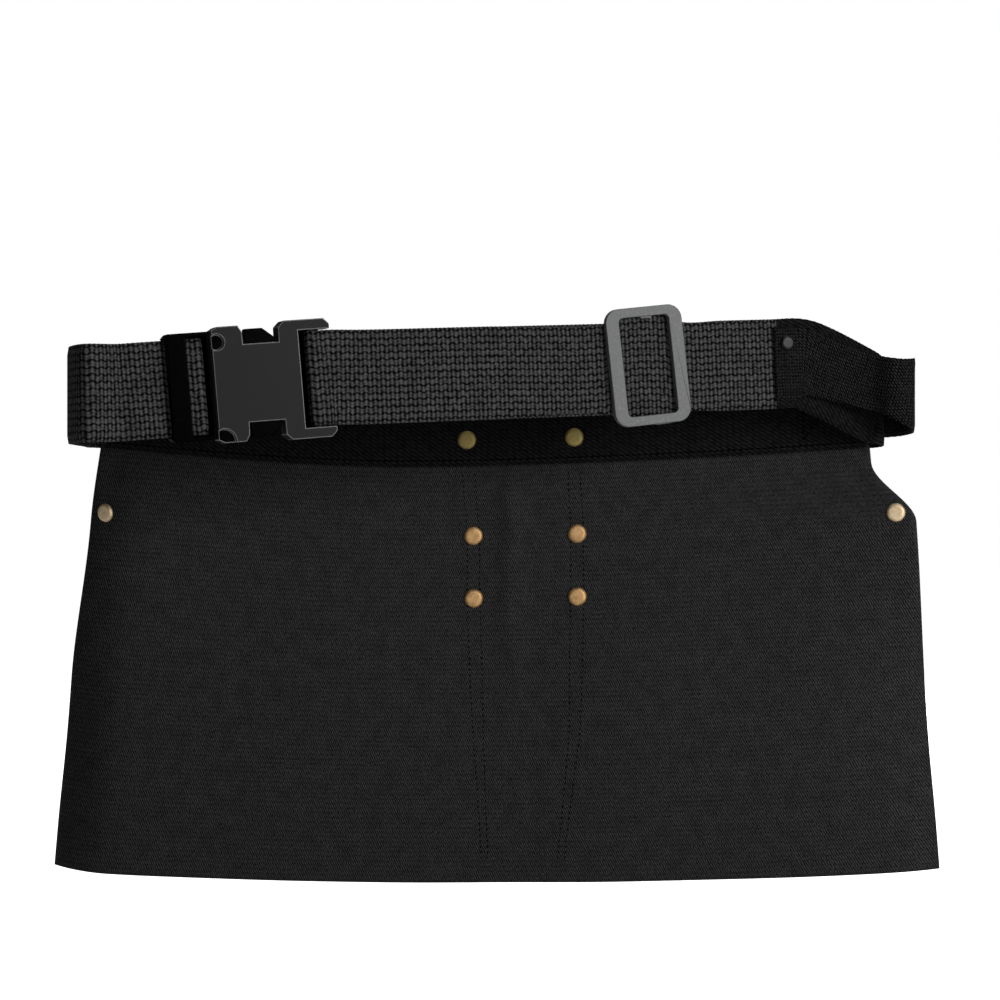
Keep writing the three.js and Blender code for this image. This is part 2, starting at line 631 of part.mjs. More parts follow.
// A flat piece in the near run's frame, from an outline of [along, up] corners, between two depths.
function plate(corners, out) {
  const shape = new THREE.Shape(corners.map(([along, up]) => new THREE.Vector2(along, up)));
  const solid = new THREE.ExtrudeGeometry(shape, {
    depth: out[1] - out[0],
    bevelEnabled: false,
    curveSegments: 5,
  });
  return solid.rotateX(Math.PI / 2).translate(0, -out[0], 0);
}

// A bar across the belt, in the near run's frame.
const crossBar = (along, out, radius, halfHeight) =>
  new THREE.CylinderGeometry(radius, radius, 2 * halfHeight, 10)
    .rotateX(Math.PI / 2)
    .translate(along, -out, 0);
const mirrored = (corners) => [...corners, ...corners.map(([along, up]) => [along, -up]).reverse()];
const OPEN_HALF = WEBBING_WIDTH / 2 + WEBBING_ROOM;

// Buckle socket: a flat shell with side notches for the plug's grips, and two lugs that hold its bar.
const socketOutline = mirrored([
  [0, SOCKET_HALF_HEIGHT - 1.8],
  [3.2, SOCKET_HALF_HEIGHT],
  [GRIP_START - 2.6, SOCKET_HALF_HEIGHT],
  [GRIP_START - 0.6, SOCKET_HALF_HEIGHT - 3.4],
  [GRIP_START - 0.4, CAVITY_HALF_HEIGHT - 0.6],
  [GRIP_START + GRIP_LENGTH + 0.6, CAVITY_HALF_HEIGHT - 0.6],
  [GRIP_START + GRIP_LENGTH + 0.8, LUG_HALF_HEIGHT - 3],
  [BUCKLE_FACE - 7.5, LUG_HALF_HEIGHT],
  [SOCKET_LENGTH - 3, LUG_HALF_HEIGHT],
  [SOCKET_LENGTH, LUG_HALF_HEIGHT - 3],
  [SOCKET_LENGTH, OPEN_HALF],
  [BUCKLE_FACE, OPEN_HALF],
]);
const socketCavity = block(
  [-1, BUCKLE_FACE - 3],
  [-(SOCKET_FRONT - SOCKET_WALL), SOCKET_BACK - SOCKET_WALL],
  [-CAVITY_HALF_HEIGHT, CAVITY_HALF_HEIGHT],
);
const cornerNotch = (radius, up) =>
  new THREE.CylinderGeometry(radius, radius, SOCKET_FRONT, 16).translate(2.5, -SOCKET_FRONT, up);
const socketShell = cut(
  plate(socketOutline, [-SOCKET_BACK, SOCKET_FRONT]),
  socketCavity,
  cornerNotch(THUMB_NOTCH, SOCKET_HALF_HEIGHT - 8),
  cornerNotch(FOOT_NOTCH, -SOCKET_HALF_HEIGHT + 1),
);
const socketBar = crossBar(SOCKET_BAR, BAR_OUT, BAR_RADIUS, OPEN_HALF + 1);
addPiece("buckle_socket", join(socketShell, socketBar), BLACK_PLASTIC, buckleRun);

// Buckle plug: a frame for the belt, and a guide and two sprung arms inside the socket.
const plugFrame = plate(
  mirrored([
    [-PLUG_LENGTH, PLUG_HALF_HEIGHT - 2],
    [-PLUG_LENGTH + 2, PLUG_HALF_HEIGHT],
    [-GAP, PLUG_HALF_HEIGHT],
  ]),
  [-4.5, SOCKET_FRONT],
);
const plugOpening = block(
  [-PLUG_LENGTH - 1, -PLUG_SHOULDER],
  [-SOCKET_FRONT - 1, SOCKET_BACK],
  [-OPEN_HALF, OPEN_HALF],
);
const wideBar = block(
  [-PLUG_LENGTH + 1.6, -PLUG_LENGTH + 1.6 + PLUG_WIDE_BAR],
  [-SOCKET_FRONT, -2],
  [-OPEN_HALF - 1, OPEN_HALF + 1],
);
const innerBar = crossBar(PLUG_BAR, BAR_OUT, BAR_RADIUS, OPEN_HALF + 1);
const ARM_OUT = [-SOCKET_BACK + SOCKET_WALL + 0.4, SOCKET_FRONT - SOCKET_WALL - 0.4];
const armTop = CAVITY_HALF_HEIGHT - 1.2;
const upperArm = [
  [-PLUG_SHOULDER, 9],
  [PLUG_REACH - 6, 13],
  [PLUG_REACH, 15],
  [PLUG_REACH, armTop - 1],
  [GRIP_START + GRIP_LENGTH - 0.4, armTop],
  [GRIP_START + GRIP_LENGTH - 0.6, GRIP_HALF_HEIGHT - 5.2],
  [GRIP_START + 11, GRIP_HALF_HEIGHT],
  [GRIP_START + 1.4, GRIP_HALF_HEIGHT],
  [GRIP_START + 0.4, armTop],
  [-PLUG_SHOULDER, armTop],
];
const lowerArm = upperArm.map(([along, up]) => [along, -up]).reverse();
const guide = mirrored([
  [-PLUG_SHOULDER, 5],
  [PLUG_REACH - 8, 3.5],
]);
addPiece(
  "buckle_plug",
  join(
    cut(plugFrame, plugOpening),
    wideBar,
    innerBar,
    plate(upperArm, ARM_OUT),
    plate(lowerArm, ARM_OUT),
    plate(guide, ARM_OUT),
  ),
  BLACK_PLASTIC,
  buckleRun,
);

// Slider: a rounded frame before the belt, and a middle bar behind it on two ears.
function roundedOutline(target, halfAlong, halfUp, radius) {
  target.moveTo(-halfAlong + radius, -halfUp);
  target.lineTo(halfAlong - radius, -halfUp);
  target.absarc(halfAlong - radius, -halfUp + radius, radius, -Math.PI / 2, 0);
  target.absarc(halfAlong - radius, halfUp - radius, radius, 0, Math.PI / 2);
  target.absarc(-halfAlong + radius, halfUp - radius, radius, Math.PI / 2, Math.PI);
  target.absarc(-halfAlong + radius, -halfUp + radius, radius, Math.PI, Math.PI * 1.5);
  return target;
}
const sliderHalfUp = WEBBING_WIDTH / 2 + 2.1;
const sliderShape = roundedOutline(
  new THREE.Shape(),
  SLIDER_OPENING / 2 + SLIDER_SIDE_BAR,
  sliderHalfUp + SLIDER_END_BAR,
  SLIDER_CORNER,
);
sliderShape.holes.push(roundedOutline(new THREE.Path(), SLIDER_OPENING / 2, sliderHalfUp, SLIDER_CORNER / 3));
const sliderFront = WEBBING_THICKNESS / 2 + GAP + SLIDER_THICKNESS;
const sliderFrame = new THREE.ExtrudeGeometry(sliderShape, {
  depth: SLIDER_THICKNESS,
  bevelEnabled: false,
  curveSegments: 4,
})
  .rotateX(Math.PI / 2)
  .translate(0, -sliderFront + SLIDER_THICKNESS, 0);
const ears = [-1, 1].map((side) =>
  block(
    [-SLIDER_MIDDLE_BAR - 1.5, SLIDER_MIDDLE_BAR + 1.5],
    [-sliderFront + 1, -MIDDLE_OUT + SLIDER_MIDDLE_BAR],
    side > 0 ? [sliderHalfUp, sliderHalfUp + 4] : [-sliderHalfUp - 4, -sliderHalfUp],
  ),
);
const middleBar = crossBar(0, MIDDLE_OUT, SLIDER_MIDDLE_BAR, sliderHalfUp + 1);
const leaningFrame = sliderFrame.rotateY(-SLIDER_LEAN).translate(0, 0, SLIDER_RAISE);
const sliderSolid = join(leaningFrame, ...ears, middleBar).translate(SLIDER_PLACE, 0, 0);
addPiece("strap_slider", sliderSolid, GREY_PLASTIC, nearRun);

export default apron;
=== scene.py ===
"""A carpenter's canvas nail apron on its webbing belt, dressed for a close view.

Sizes are in millimetres and become metres where a mesh is made. +Z is up, +X runs along the band
towards the hammer loop, and -Y is towards the wearer's back, where the camera stands.
"""

import logging
import math
from collections.abc import Callable, Sequence
from dataclasses import dataclass
from enum import Enum

import bmesh
import bpy
import numpy as np
from bpy.types import Material, Node, NodeSocket, Object
from mathutils import Matrix, Vector


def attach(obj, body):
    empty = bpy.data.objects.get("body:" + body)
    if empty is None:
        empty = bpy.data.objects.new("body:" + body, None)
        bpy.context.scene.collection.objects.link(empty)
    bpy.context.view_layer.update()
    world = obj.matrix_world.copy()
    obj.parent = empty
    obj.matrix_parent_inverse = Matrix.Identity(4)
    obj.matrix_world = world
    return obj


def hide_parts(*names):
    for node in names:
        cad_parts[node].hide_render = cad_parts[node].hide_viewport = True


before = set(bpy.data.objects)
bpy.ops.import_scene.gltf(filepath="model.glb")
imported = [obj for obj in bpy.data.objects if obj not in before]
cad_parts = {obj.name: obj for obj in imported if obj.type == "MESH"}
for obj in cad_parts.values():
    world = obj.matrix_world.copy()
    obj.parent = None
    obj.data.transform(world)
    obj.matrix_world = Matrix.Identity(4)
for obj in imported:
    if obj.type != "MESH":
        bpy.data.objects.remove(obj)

log = logging.getLogger("apron")

MM = 0.001
Array = np.ndarray
Surface = Callable[[Array, Array], Array]

# Cloth and webbing
GAP = 0.3
CLOTH_GAP = 0.5
WEBBING_WIDTH = 50.0
WEBBING_THICKNESS = 2.2
PANEL_THICKNESS = 1.8
POUCH_THICKNESS = 1.5

# Canvas panel
PANEL_HEIGHT = 285.0
FLARE_LEFT = 30.0
FLARE_RIGHT = 27.0
SHOULDER_LEFT = 5.0
SHOULDER_RIGHT = 22.0
STEP_LEFT = (0.3, 0.62)
STEP_RIGHT = (0.185, 0.3)
SHOULDER_HUG = 6
HEM_DIP = 6.5
TOP_TURN = 5.0
EDGE_ROLL = 14.0
CREASE = 3.0
CREASE_ACROSS = 0.532
MARGIN_CURL = 17.0
MARGIN_REACH = 0.06
HEM_CURL = 5.0
FOLD_DEPTH = 3.0
FOLD_ACROSS = 0.518
FOLD_REACH = 0.09

# Waistband and belt loop
LOOP_DEPTH = 147.0
BAND_BACK = 70.0
BAND_BOW = 15.0
BAND_RISE = 10.6
BAND_LOW_ACROSS = 0.385
BAND_LENGTH = 428.0
BAND_CENTRE = -8.0
STRAP_OVERLAP = 38.0
HALF_LOOP = BAND_LENGTH / 2

# Near run of the belt, from the buckle's joint towards the right
NEAR_START = Vector((-148.8, BAND_BACK - LOOP_DEPTH, 17.4))
NEAR_HEADING = math.radians(19)
NEAR_SLOPE = math.radians(2.6)

# Pouches, pockets and sleeve
POUCH_MOUTH_DROP = 76.0
POUCH_DEPTH = 42.0
POCKET_MOUTH_DROP = 116.0
POCKET_DEPTH = 22.0
POCKET_FOOT = 0.6
POCKET_SHARE = 0.62
SLEEVE_TOP_DROP = 17.0
SLEEVE_DEPTH = 13.0
SEAM_MARGIN = 5.0
SIDE_MARGIN = 3.0
HEM_MARGIN = 6.0
FLANGE = 13.0
SEAM_HALF_GAUGE = 3.4
SEAM_DOWN = (0.0, 0.11, 0.3, 0.43, 0.7, 0.9, 1.0)
SEAM_LEFT = (0.471, 0.475, 0.484, 0.485, 0.492, 0.499, 0.502)
SEAM_RIGHT = (0.617, 0.617, 0.616, 0.615, 0.609, 0.594, 0.588)

# Buckle, slider and hammer loop
BUCKLE_FACE = 46.5
BUCKLE_SLOT = 4.0
SOCKET_FRONT = 4.5
BUCKLE_LEAN = math.radians(2.3)
BAR_RADIUS = 1.5
PLUG_BAR = -8.0
SLIDER_PLACE = 242.0
SLIDER_MIDDLE_BAR = 1.8
SLIDER_FILL = 8.0
SLIDER_FILL_HALF = 14.0
SLIDER_FILL_REACH = 22.0
LOOP_WIDTH = 41.0
LOOP_THICKNESS = 1.8
LOOP_START = 319.0
LOOP_LEAVES = 350.0
LOOP_REACH = 233.0
LOOP_RIVET_ALONG = 326.5
LOOP_RIVET_UP = 11.5
# painted shade: the right strap's webbing turns darker beyond this reach along X, and that much sooner above
# the middle
PAINTED_SHADE_FROM_X = 178.0
PAINTED_SHADE_TOP_LEAD = 24.0

# Layers behind the band, and two layers of belt lying on each other
PANEL_LAYER = WEBBING_THICKNESS / 2 + GAP + PANEL_THICKNESS / 2
STRAP_END_LAYER = PANEL_LAYER + PANEL_THICKNESS / 2 + GAP + WEBBING_THICKNESS / 2
LOOP_END_LAYER = STRAP_END_LAYER + WEBBING_THICKNESS / 2 + GAP + LOOP_THICKNESS / 2
LAYER = WEBBING_THICKNESS + GAP
BAR_OUT = -LAYER / 2
BAR_TURN = BAR_RADIUS + 0.4 + WEBBING_THICKNESS / 2
SOCKET_BAR = BUCKLE_FACE + BUCKLE_SLOT + BAR_TURN + WEBBING_THICKNESS / 2
MIDDLE_TURN = SLIDER_MIDDLE_BAR + 0.4 + WEBBING_THICKNESS / 2
MIDDLE_OUT = -LAYER - MIDDLE_TURN


class Slot(Enum):
    """The record's material slots."""

    CANVAS = "canvas"
    WEBBING = "webbing"
    NYLON = "nylon"
    BLACK_PLASTIC = "black_plastic"
    GREY_PLASTIC = "grey_plastic"
    BRASS = "brass"
    BLACK_METAL = "black_metal"


def smoothstep(value: Array | float, low: Array | float, high: Array | float) -> Array:
    """Eases from 0 at low to 1 at high."""
    share = np.clip((value - low) / (high - low), 0, 1)
    return share * share * (3 - 2 * share)


def lerp(start: Array | float, end: Array | float, share: Array | float) -> Array:
    """Mixes two values by a share."""
    return start + (end - start) * share


def points(x: Array | float, y: Array | float, z: Array | float) -> Array:
    """Stacks three coordinates, each an array or one number, into rows of points."""
    return np.stack(np.broadcast_arrays(x, y, z), axis=-1).astype(float)


def band_point(share: Array | float, behind: float = 0.0) -> Array:
    """Gives points of the band's middle line.

    Args:
        share: how far along the band, from 0 at its left end to 1 at its right end.
        behind: distance off the band, away from the wearer.

    Returns:
        One point a row.
    """
    share = np.asarray(share, float)
    across = 2 * share - 1
    reach = np.where(share < BAND_LOW_ACROSS, BAND_LOW_ACROSS, 1 - BAND_LOW_ACROSS)
    rise = BAND_RISE * (np.abs(share - BAND_LOW_ACROSS) / reach) ** 1.6
    turn = np.arctan(6 * BAND_BOW * across * np.abs(across) / BAND_LENGTH)
    x = BAND_CENTRE + (share - 0.5) * BAND_LENGTH + behind * np.sin(turn)
    y = BAND_BACK - BAND_BOW * np.abs(across) ** 3 + behind * np.cos(turn)
    return points(x, y, rise)


def drape(u: Array, v: Array) -> Array:
    """The canvas's soft unevenness as an offset along Y, shared by all the layers sewn to it."""
    below = smoothstep(v, 0.16, 0.5)
    hem = HEM_CURL * smoothstep(v, 0.86, 1.1)
    slow = 0.9 * np.sin(7.3 * u + 2.1 * v + 0.4) * np.sin(5.1 * v + 3.3 * u)
    upright = 0.5 * np.sin(31 * u + 3.5 * v) * (1 - 0.5 * v)
    slanted = 0.35 * np.sin(16 * u - 11 * v + 1.3) * np.sin(9 * u + 1.7)
    crease = CREASE * np.exp(-(((u - CREASE_ACROSS) / 0.016) ** 2)) * smoothstep(v, 0.15, 0.22)
    return below * (slow + upright + slanted) + hem - crease * (1 - smoothstep(v, 0.25, 0.8))


def margin_curl(u: Array, v: Array) -> Array:
    """How far the canvas's left margin turns away from the wearer."""
    return MARGIN_CURL * np.clip(1 - u / MARGIN_REACH, 0, 1) ** 2 * smoothstep(v, 0.1, 0.3)


def panel_surface(u: Array, v: Array) -> Array:
    """Gives points of the canvas panel's middle.

    Args:
        u: share across, from the left edge to the right one.
        v: share down, from the top edge to the hem.

    Returns:
        One point a row.
    """
    left = SHOULDER_LEFT * smoothstep(v, *STEP_LEFT) * (1 - u) ** SHOULDER_HUG
    right = SHOULDER_RIGHT * smoothstep(v, *STEP_RIGHT) * u**SHOULDER_HUG
    flare = lerp(-FLARE_LEFT * v, FLARE_RIGHT * v, u) - left + right
    top = band_point(u + flare / BAND_LENGTH, PANEL_LAYER)
    below = smoothstep(v, 0.19, 0.8)
    across = 2 * u - 1
    roll = EDGE_ROLL * np.abs(across) ** 14 * below
    fold = FOLD_DEPTH * np.exp(-(((u - FOLD_ACROSS) / FOLD_REACH) ** 2)) * smoothstep(v, 0.1, 0.6)
    top_edge = band_point(u)[..., 2] + WEBBING_WIDTH / 2 - TOP_TURN
    hem = WEBBING_WIDTH / 2 - TOP_TURN - PANEL_HEIGHT + HEM_DIP * across**2
    curl = margin_curl(u, v)
    y = lerp(top[..., 1], BAND_BACK + PANEL_LAYER, below) + roll + fold + drape(u, v) + curl
    return points(top[..., 0] - 0.25 * curl, y, lerp(top_edge, hem, v))


def outwards(surface: Surface, u: Array, v: Array) -> Array:
    """Unit directions away from the wearer at places on a surface."""
    step = 0.004
    across = surface(np.minimum(u + step, 1), v) - surface(np.maximum(u - step, 0), v)
    down = surface(u, np.minimum(v + step, 1)) - surface(u, np.maximum(v - step, 0))
    away = np.cross(across, down)
    return away / np.linalg.norm(away, axis=-1, keepdims=True)


def off_surface(surface: Surface, u: Array, v: Array, distance: Array | float) -> Array:
    """Points that stand off a surface, away from the wearer by a distance."""
    away = np.asarray(distance, float)
    return surface(u, v) + outwards(surface, u, v) * away[..., None]


def seam_left(v: Array | float) -> Array:
    """Share across the panel at which the left seam runs."""
    return np.interp(v, SEAM_DOWN, SEAM_LEFT)


def seam_right(v: Array | float) -> Array:
    """Share across the panel at which the right seam runs."""
    return np.interp(v, SEAM_DOWN, SEAM_RIGHT)


def drop_share(drop: float) -> float:
    """A drop below the panel's top edge as a share of its height."""
    return drop / PANEL_HEIGHT


def swell(across: Array, down: Array, flange: Array) -> Array:
    """How far a pouch stands out at a place, from 0 on its flanges to 1 in its middle."""
    edge = np.minimum(across, 1 - across)
    sides = smoothstep(edge, flange, flange + 0.26)
    foot = 1 - smoothstep(down, 0.68, 0.965)
    return sides * foot * (0.86 + 0.14 * np.sin(np.pi * np.minimum(1, down + 0.25)))


def layer_behind_panel(layers: Array | float) -> Array | float:
    """Distance from the panel's middle to the middle of a canvas layer sewn on behind it."""
    step = POUCH_THICKNESS + CLOTH_GAP
    return PANEL_THICKNESS / 2 + CLOTH_GAP + POUCH_THICKNESS / 2 + (layers - 1) * step


def pouch_surface(
    left_edge: Callable[[Array], Array],
    right_edge: Callable[[Array], Array],
    top_drop: float,
    depth: float,
    layer_at: Callable[[Array], Array],
    hem_margins: float = 1.0,
) -> Surface:
    """Makes the surface of a pouch that is sewn to the panel.

    Args:
        left_edge: share across the panel of its left edge, at a share down.
        right_edge: the same for its right edge.
        top_drop: how far its mouth lies below the panel's top edge.
        depth: how far it stands out.
        layer_at: which layer behind the panel it lies in, at a share across.
        hem_margins: how many hem margins it stops above the panel's hem.

    Returns:
        Its surface, as a function of the shares across and down.
    """
    top = drop_share(top_drop)
    bottom = 1 - drop_share(HEM_MARGIN) * hem_margins

    def surface(across: Array, down: Array) -> Array:
        v = lerp(top, bottom, down)
        u = lerp(left_edge(v), right_edge(v), across)
        width = (right_edge(v) - left_edge(v)) * BAND_LENGTH
        place = off_surface(panel_surface, u, v, layer_behind_panel(layer_at(across)))
        out = swell(across, down, FLANGE / width)
        wrinkle = 0.9 * np.sin(23 * across + 9 * down) * np.sin(14 * down - 6 * across + 0.7)
        place[..., 1] += out * (depth + wrinkle)
        return place

    return surface


def pocket_surface(pouch: Surface, on_right: bool, pouch_width: float) -> Surface:
    """Makes the surface of a front pocket sewn on a pouch, from the pouch's inner edge outwards."""
    height = PANEL_HEIGHT - POUCH_MOUTH_DROP - HEM_MARGIN
    top = (POCKET_MOUTH_DROP - POUCH_MOUTH_DROP) / height
    start, end = (0.004, POCKET_SHARE) if on_right else (1 - POCKET_SHARE, 0.996)
    flange = FLANGE / (POCKET_SHARE * pouch_width * BAND_LENGTH)

    def surface(across: Array, down: Array) -> Array:
        layer = POUCH_THICKNESS + CLOTH_GAP * (1 + 1.5 * down)
        place = off_surface(pouch, lerp(start, end, across), lerp(top, POCKET_FOOT, down), layer)
        wrinkle = 0.5 * np.sin(17 * across + 5 * down)
        place[..., 1] += swell(across, down, np.asarray(flange)) * (POCKET_DEPTH + wrinkle)
        return place

    return surface


def same(share: float) -> Callable[[Array], Array]:
    """An edge that runs at one share across, all the way down."""
    return lambda v: np.full_like(np.asarray(v, float), share)


SEAM_CLOTH = SEAM_MARGIN / BAND_LENGTH
SIDE_CLOTH = SIDE_MARGIN / BAND_LENGTH
SLEEVE = pouch_surface(
    lambda v: seam_left(v) - SEAM_CLOTH,
    lambda v: seam_right(v) + SEAM_CLOTH,
    SLEEVE_TOP_DROP,
    SLEEVE_DEPTH,
    lambda across: np.ones_like(across),
    4,
)
LEFT_POUCH = pouch_surface(
    same(SIDE_CLOTH),
    lambda v: seam_left(v) + SEAM_CLOTH,
    POUCH_MOUTH_DROP,
    POUCH_DEPTH,
    lambda across: 1 + smoothstep(across, 0.1, 0.9),
)
RIGHT_POUCH = pouch_surface(
    lambda v: seam_right(v) - SEAM_CLOTH,
    same(1 - SIDE_CLOTH),
    POUCH_MOUTH_DROP,
    POUCH_DEPTH,
    lambda across: 2 - smoothstep(across, 0.1, 0.9),
)
LEFT_POCKET = pocket_surface(LEFT_POUCH, False, float(seam_left(0.5)))
RIGHT_POCKET = pocket_surface(RIGHT_POUCH, True, 1 - float(seam_right(0.5)))

NEAR_MATRIX = (
    Matrix.Translation(NEAR_START)
    @ Matrix.Rotation(NEAR_HEADING, 4, "Z")
    @ Matrix.Rotation(-NEAR_SLOPE, 4, "Y")
)
NEAR_UP = (NEAR_MATRIX.to_3x3() @ Vector((0, 0, 1))).normalized()
BUCKLE_MATRIX = (
    NEAR_MATRIX
    @ Matrix.Translation((SOCKET_BAR, 0, 0))
    @ Matrix.Rotation(-BUCKLE_LEAN, 4, "Y")
    @ Matrix.Translation((-SOCKET_BAR, 0, 0))
)
BUCKLE_UP = (BUCKLE_MATRIX.to_3x3() @ Vector((0, 0, 1))).normalized()


def near(along: float, out: float, up: float = 0.0) -> Vector:
    """A point of the near run: along the belt, out towards the wearer's back, and up."""
    return NEAR_MATRIX @ Vector((along, -out, up))


def at_buckle(along: float, out: float, up: float = 0.0) -> Vector:
    """A point of the buckle's frame, which leans about the socket's bar."""
    return BUCKLE_MATRIX @ Vector((along, -out, up))


Place = Callable[[float, float], Vector]


def half_turn(place: Place, along: float, out: float, radius: float, to_right: bool) -> list[Vector]:
    """Points of a half turn round a bar, from behind it. to_right says which way it bulges."""
    sign = 1 if to_right else -1
    angles = [math.radians(degrees) for degrees in range(-90, 91, 15)]
    return [
        place(along + sign * radius * math.cos(angle), out + radius * math.sin(angle))
        for angle in angles
    ]


def between(start: Array, end: Array, low: float, high: float, at: Array) -> Array:
    """Mixes two values by where a number lies between two others."""
    return lerp(start, end, (at - low) / (high - low))


def resampled(curve: Array, step: float) -> Array:
    """Points at even steps along a line of points."""
    reach = np.concatenate([[0], np.cumsum(np.linalg.norm(np.diff(curve, axis=0), axis=1))])
    at = np.linspace(0, reach[-1], max(2, round(reach[-1] / step) + 1))
    return np.stack([np.interp(at, reach, curve[:, axis]) for axis in range(curve.shape[1])], axis=1)


def smooth_run(stops: Sequence[Sequence[float]], step: float) -> Array:
    """Runs a smooth curve through stops.

    Args:
        stops: what it goes through: x, y and z, and any further values that run along with them.
        step: length of one step along it.

    Returns:
        Its evenly spaced stops, one a row.
    """
    rows = np.array([tuple(stop) for stop in stops], float)
    rows = np.vstack([2 * rows[0] - rows[1], rows, 2 * rows[-1] - rows[-2]])
    pieces = []
    for index in range(1, len(rows) - 2):
        p0, p1, p2, p3 = rows[index - 1 : index + 3]
        spans = [math.sqrt(math.dist(a[:3], b[:3])) for a, b in ((p0, p1), (p1, p2), (p2, p3))]
        t0, t1, t2, t3 = np.concatenate([[0], np.cumsum(spans)])
        at = np.linspace(t1, t2, 24, endpoint=False)[:, None]
        a1 = between(p0, p1, t0, t1, at)
        a2 = between(p1, p2, t1, t2, at)
        a3 = between(p2, p3, t2, t3, at)
        b1 = between(a1, a2, t0, t2, at)
        b2 = between(a2, a3, t1, t3, at)
        pieces.append(between(b1, b2, t1, t2, at))
    return resampled(np.vstack([*pieces, rows[-2][None]]), step)


class Shader:
    """Builds one material's nodes."""

    def __init__(self, name: str) -> None:
        """Starts an empty material with an output."""
        self.material = bpy.data.materials.new(name)
        self.material.use_nodes = True
        self.tree = self.material.node_tree
        self.tree.nodes.clear()
        self.output = self.tree.nodes.new("ShaderNodeOutputMaterial")

    def add(self, kind: str, inputs: dict[str | int, object] | None = None, **settings: object) -> Node:
        """Adds one node.

        Args:
            kind: its type without "ShaderNode".
            inputs: a value or another node's output for each input, by its name or number.
            settings: the node's own properties.

        Returns:
            The node.
        """
        node = self.tree.nodes.new("ShaderNode" + kind)
        for name, value in settings.items():
            setattr(node, name, value)
        for name, value in (inputs or {}).items():
            if isinstance(value, NodeSocket):
                self.tree.links.new(value, node.inputs[name])
            else:
                node.inputs[name].default_value = value
        return node

    def math(
        self, operation: str, first: NodeSocket | float, second: NodeSocket | float = 0.0
    ) -> NodeSocket:
        """Adds one sum of two values."""
        return self.add("Math", {0: first, 1: second}, operation=operation).outputs[0]

    def wave(self, along: NodeSocket, pitch: float) -> NodeSocket:
        """Adds a cosine of a length, that repeats at a pitch."""
        turned = self.math("MULTIPLY", along, 2 * math.pi / pitch)
        return self.math("COSINE", turned)

    def noise(self, place: NodeSocket, scale: float, detail: float, **settings: object) -> Node:
        """Adds a noise texture."""
        return self.add("TexNoise", {"Vector": place, "Scale": scale, "Detail": detail}, **settings)

    def bump(self, height: NodeSocket, relief: float) -> NodeSocket:
        """Adds a bump whose relief is in millimetres."""
        inputs = {"Height": height, "Distance": relief * MM, "Strength": 1.0}
        return self.add("Bump", inputs).outputs[0]

    def ramp(self, value: NodeSocket, stops: Sequence[tuple[float, str]]) -> NodeSocket:
        """Adds a colour ramp.

        Args:
            value: what it reads.
            stops: place and sRGB hex colour of each stop.

        Returns:
            Its colour.
        """
        node = self.add("ValToRGB", {0: value})
        ramp = node.color_ramp
        while len(ramp.elements) < len(stops):
            ramp.elements.new(0.5)
        for element, (place, colour) in zip(ramp.elements, stops):
            element.position = place
            element.color = linear(colour)
        return node.outputs[0]

    def finish(self, surface: Node) -> Material:
        """Links the surface to the output and gives the material."""
        self.tree.links.new(surface.outputs[0], self.output.inputs["Surface"])
        return self.material


def linear(colour: str) -> tuple[float, float, float, float]:
    """Turns an sRGB hex colour into linear values with full alpha."""
    shares = [int(colour[place : place + 2], 16) / 255 for place in (1, 3, 5)]
    values = [c / 12.92 if c <= 0.04045 else ((c + 0.055) / 1.055) ** 2.4 for c in shares]
    return (*values, 1.0)


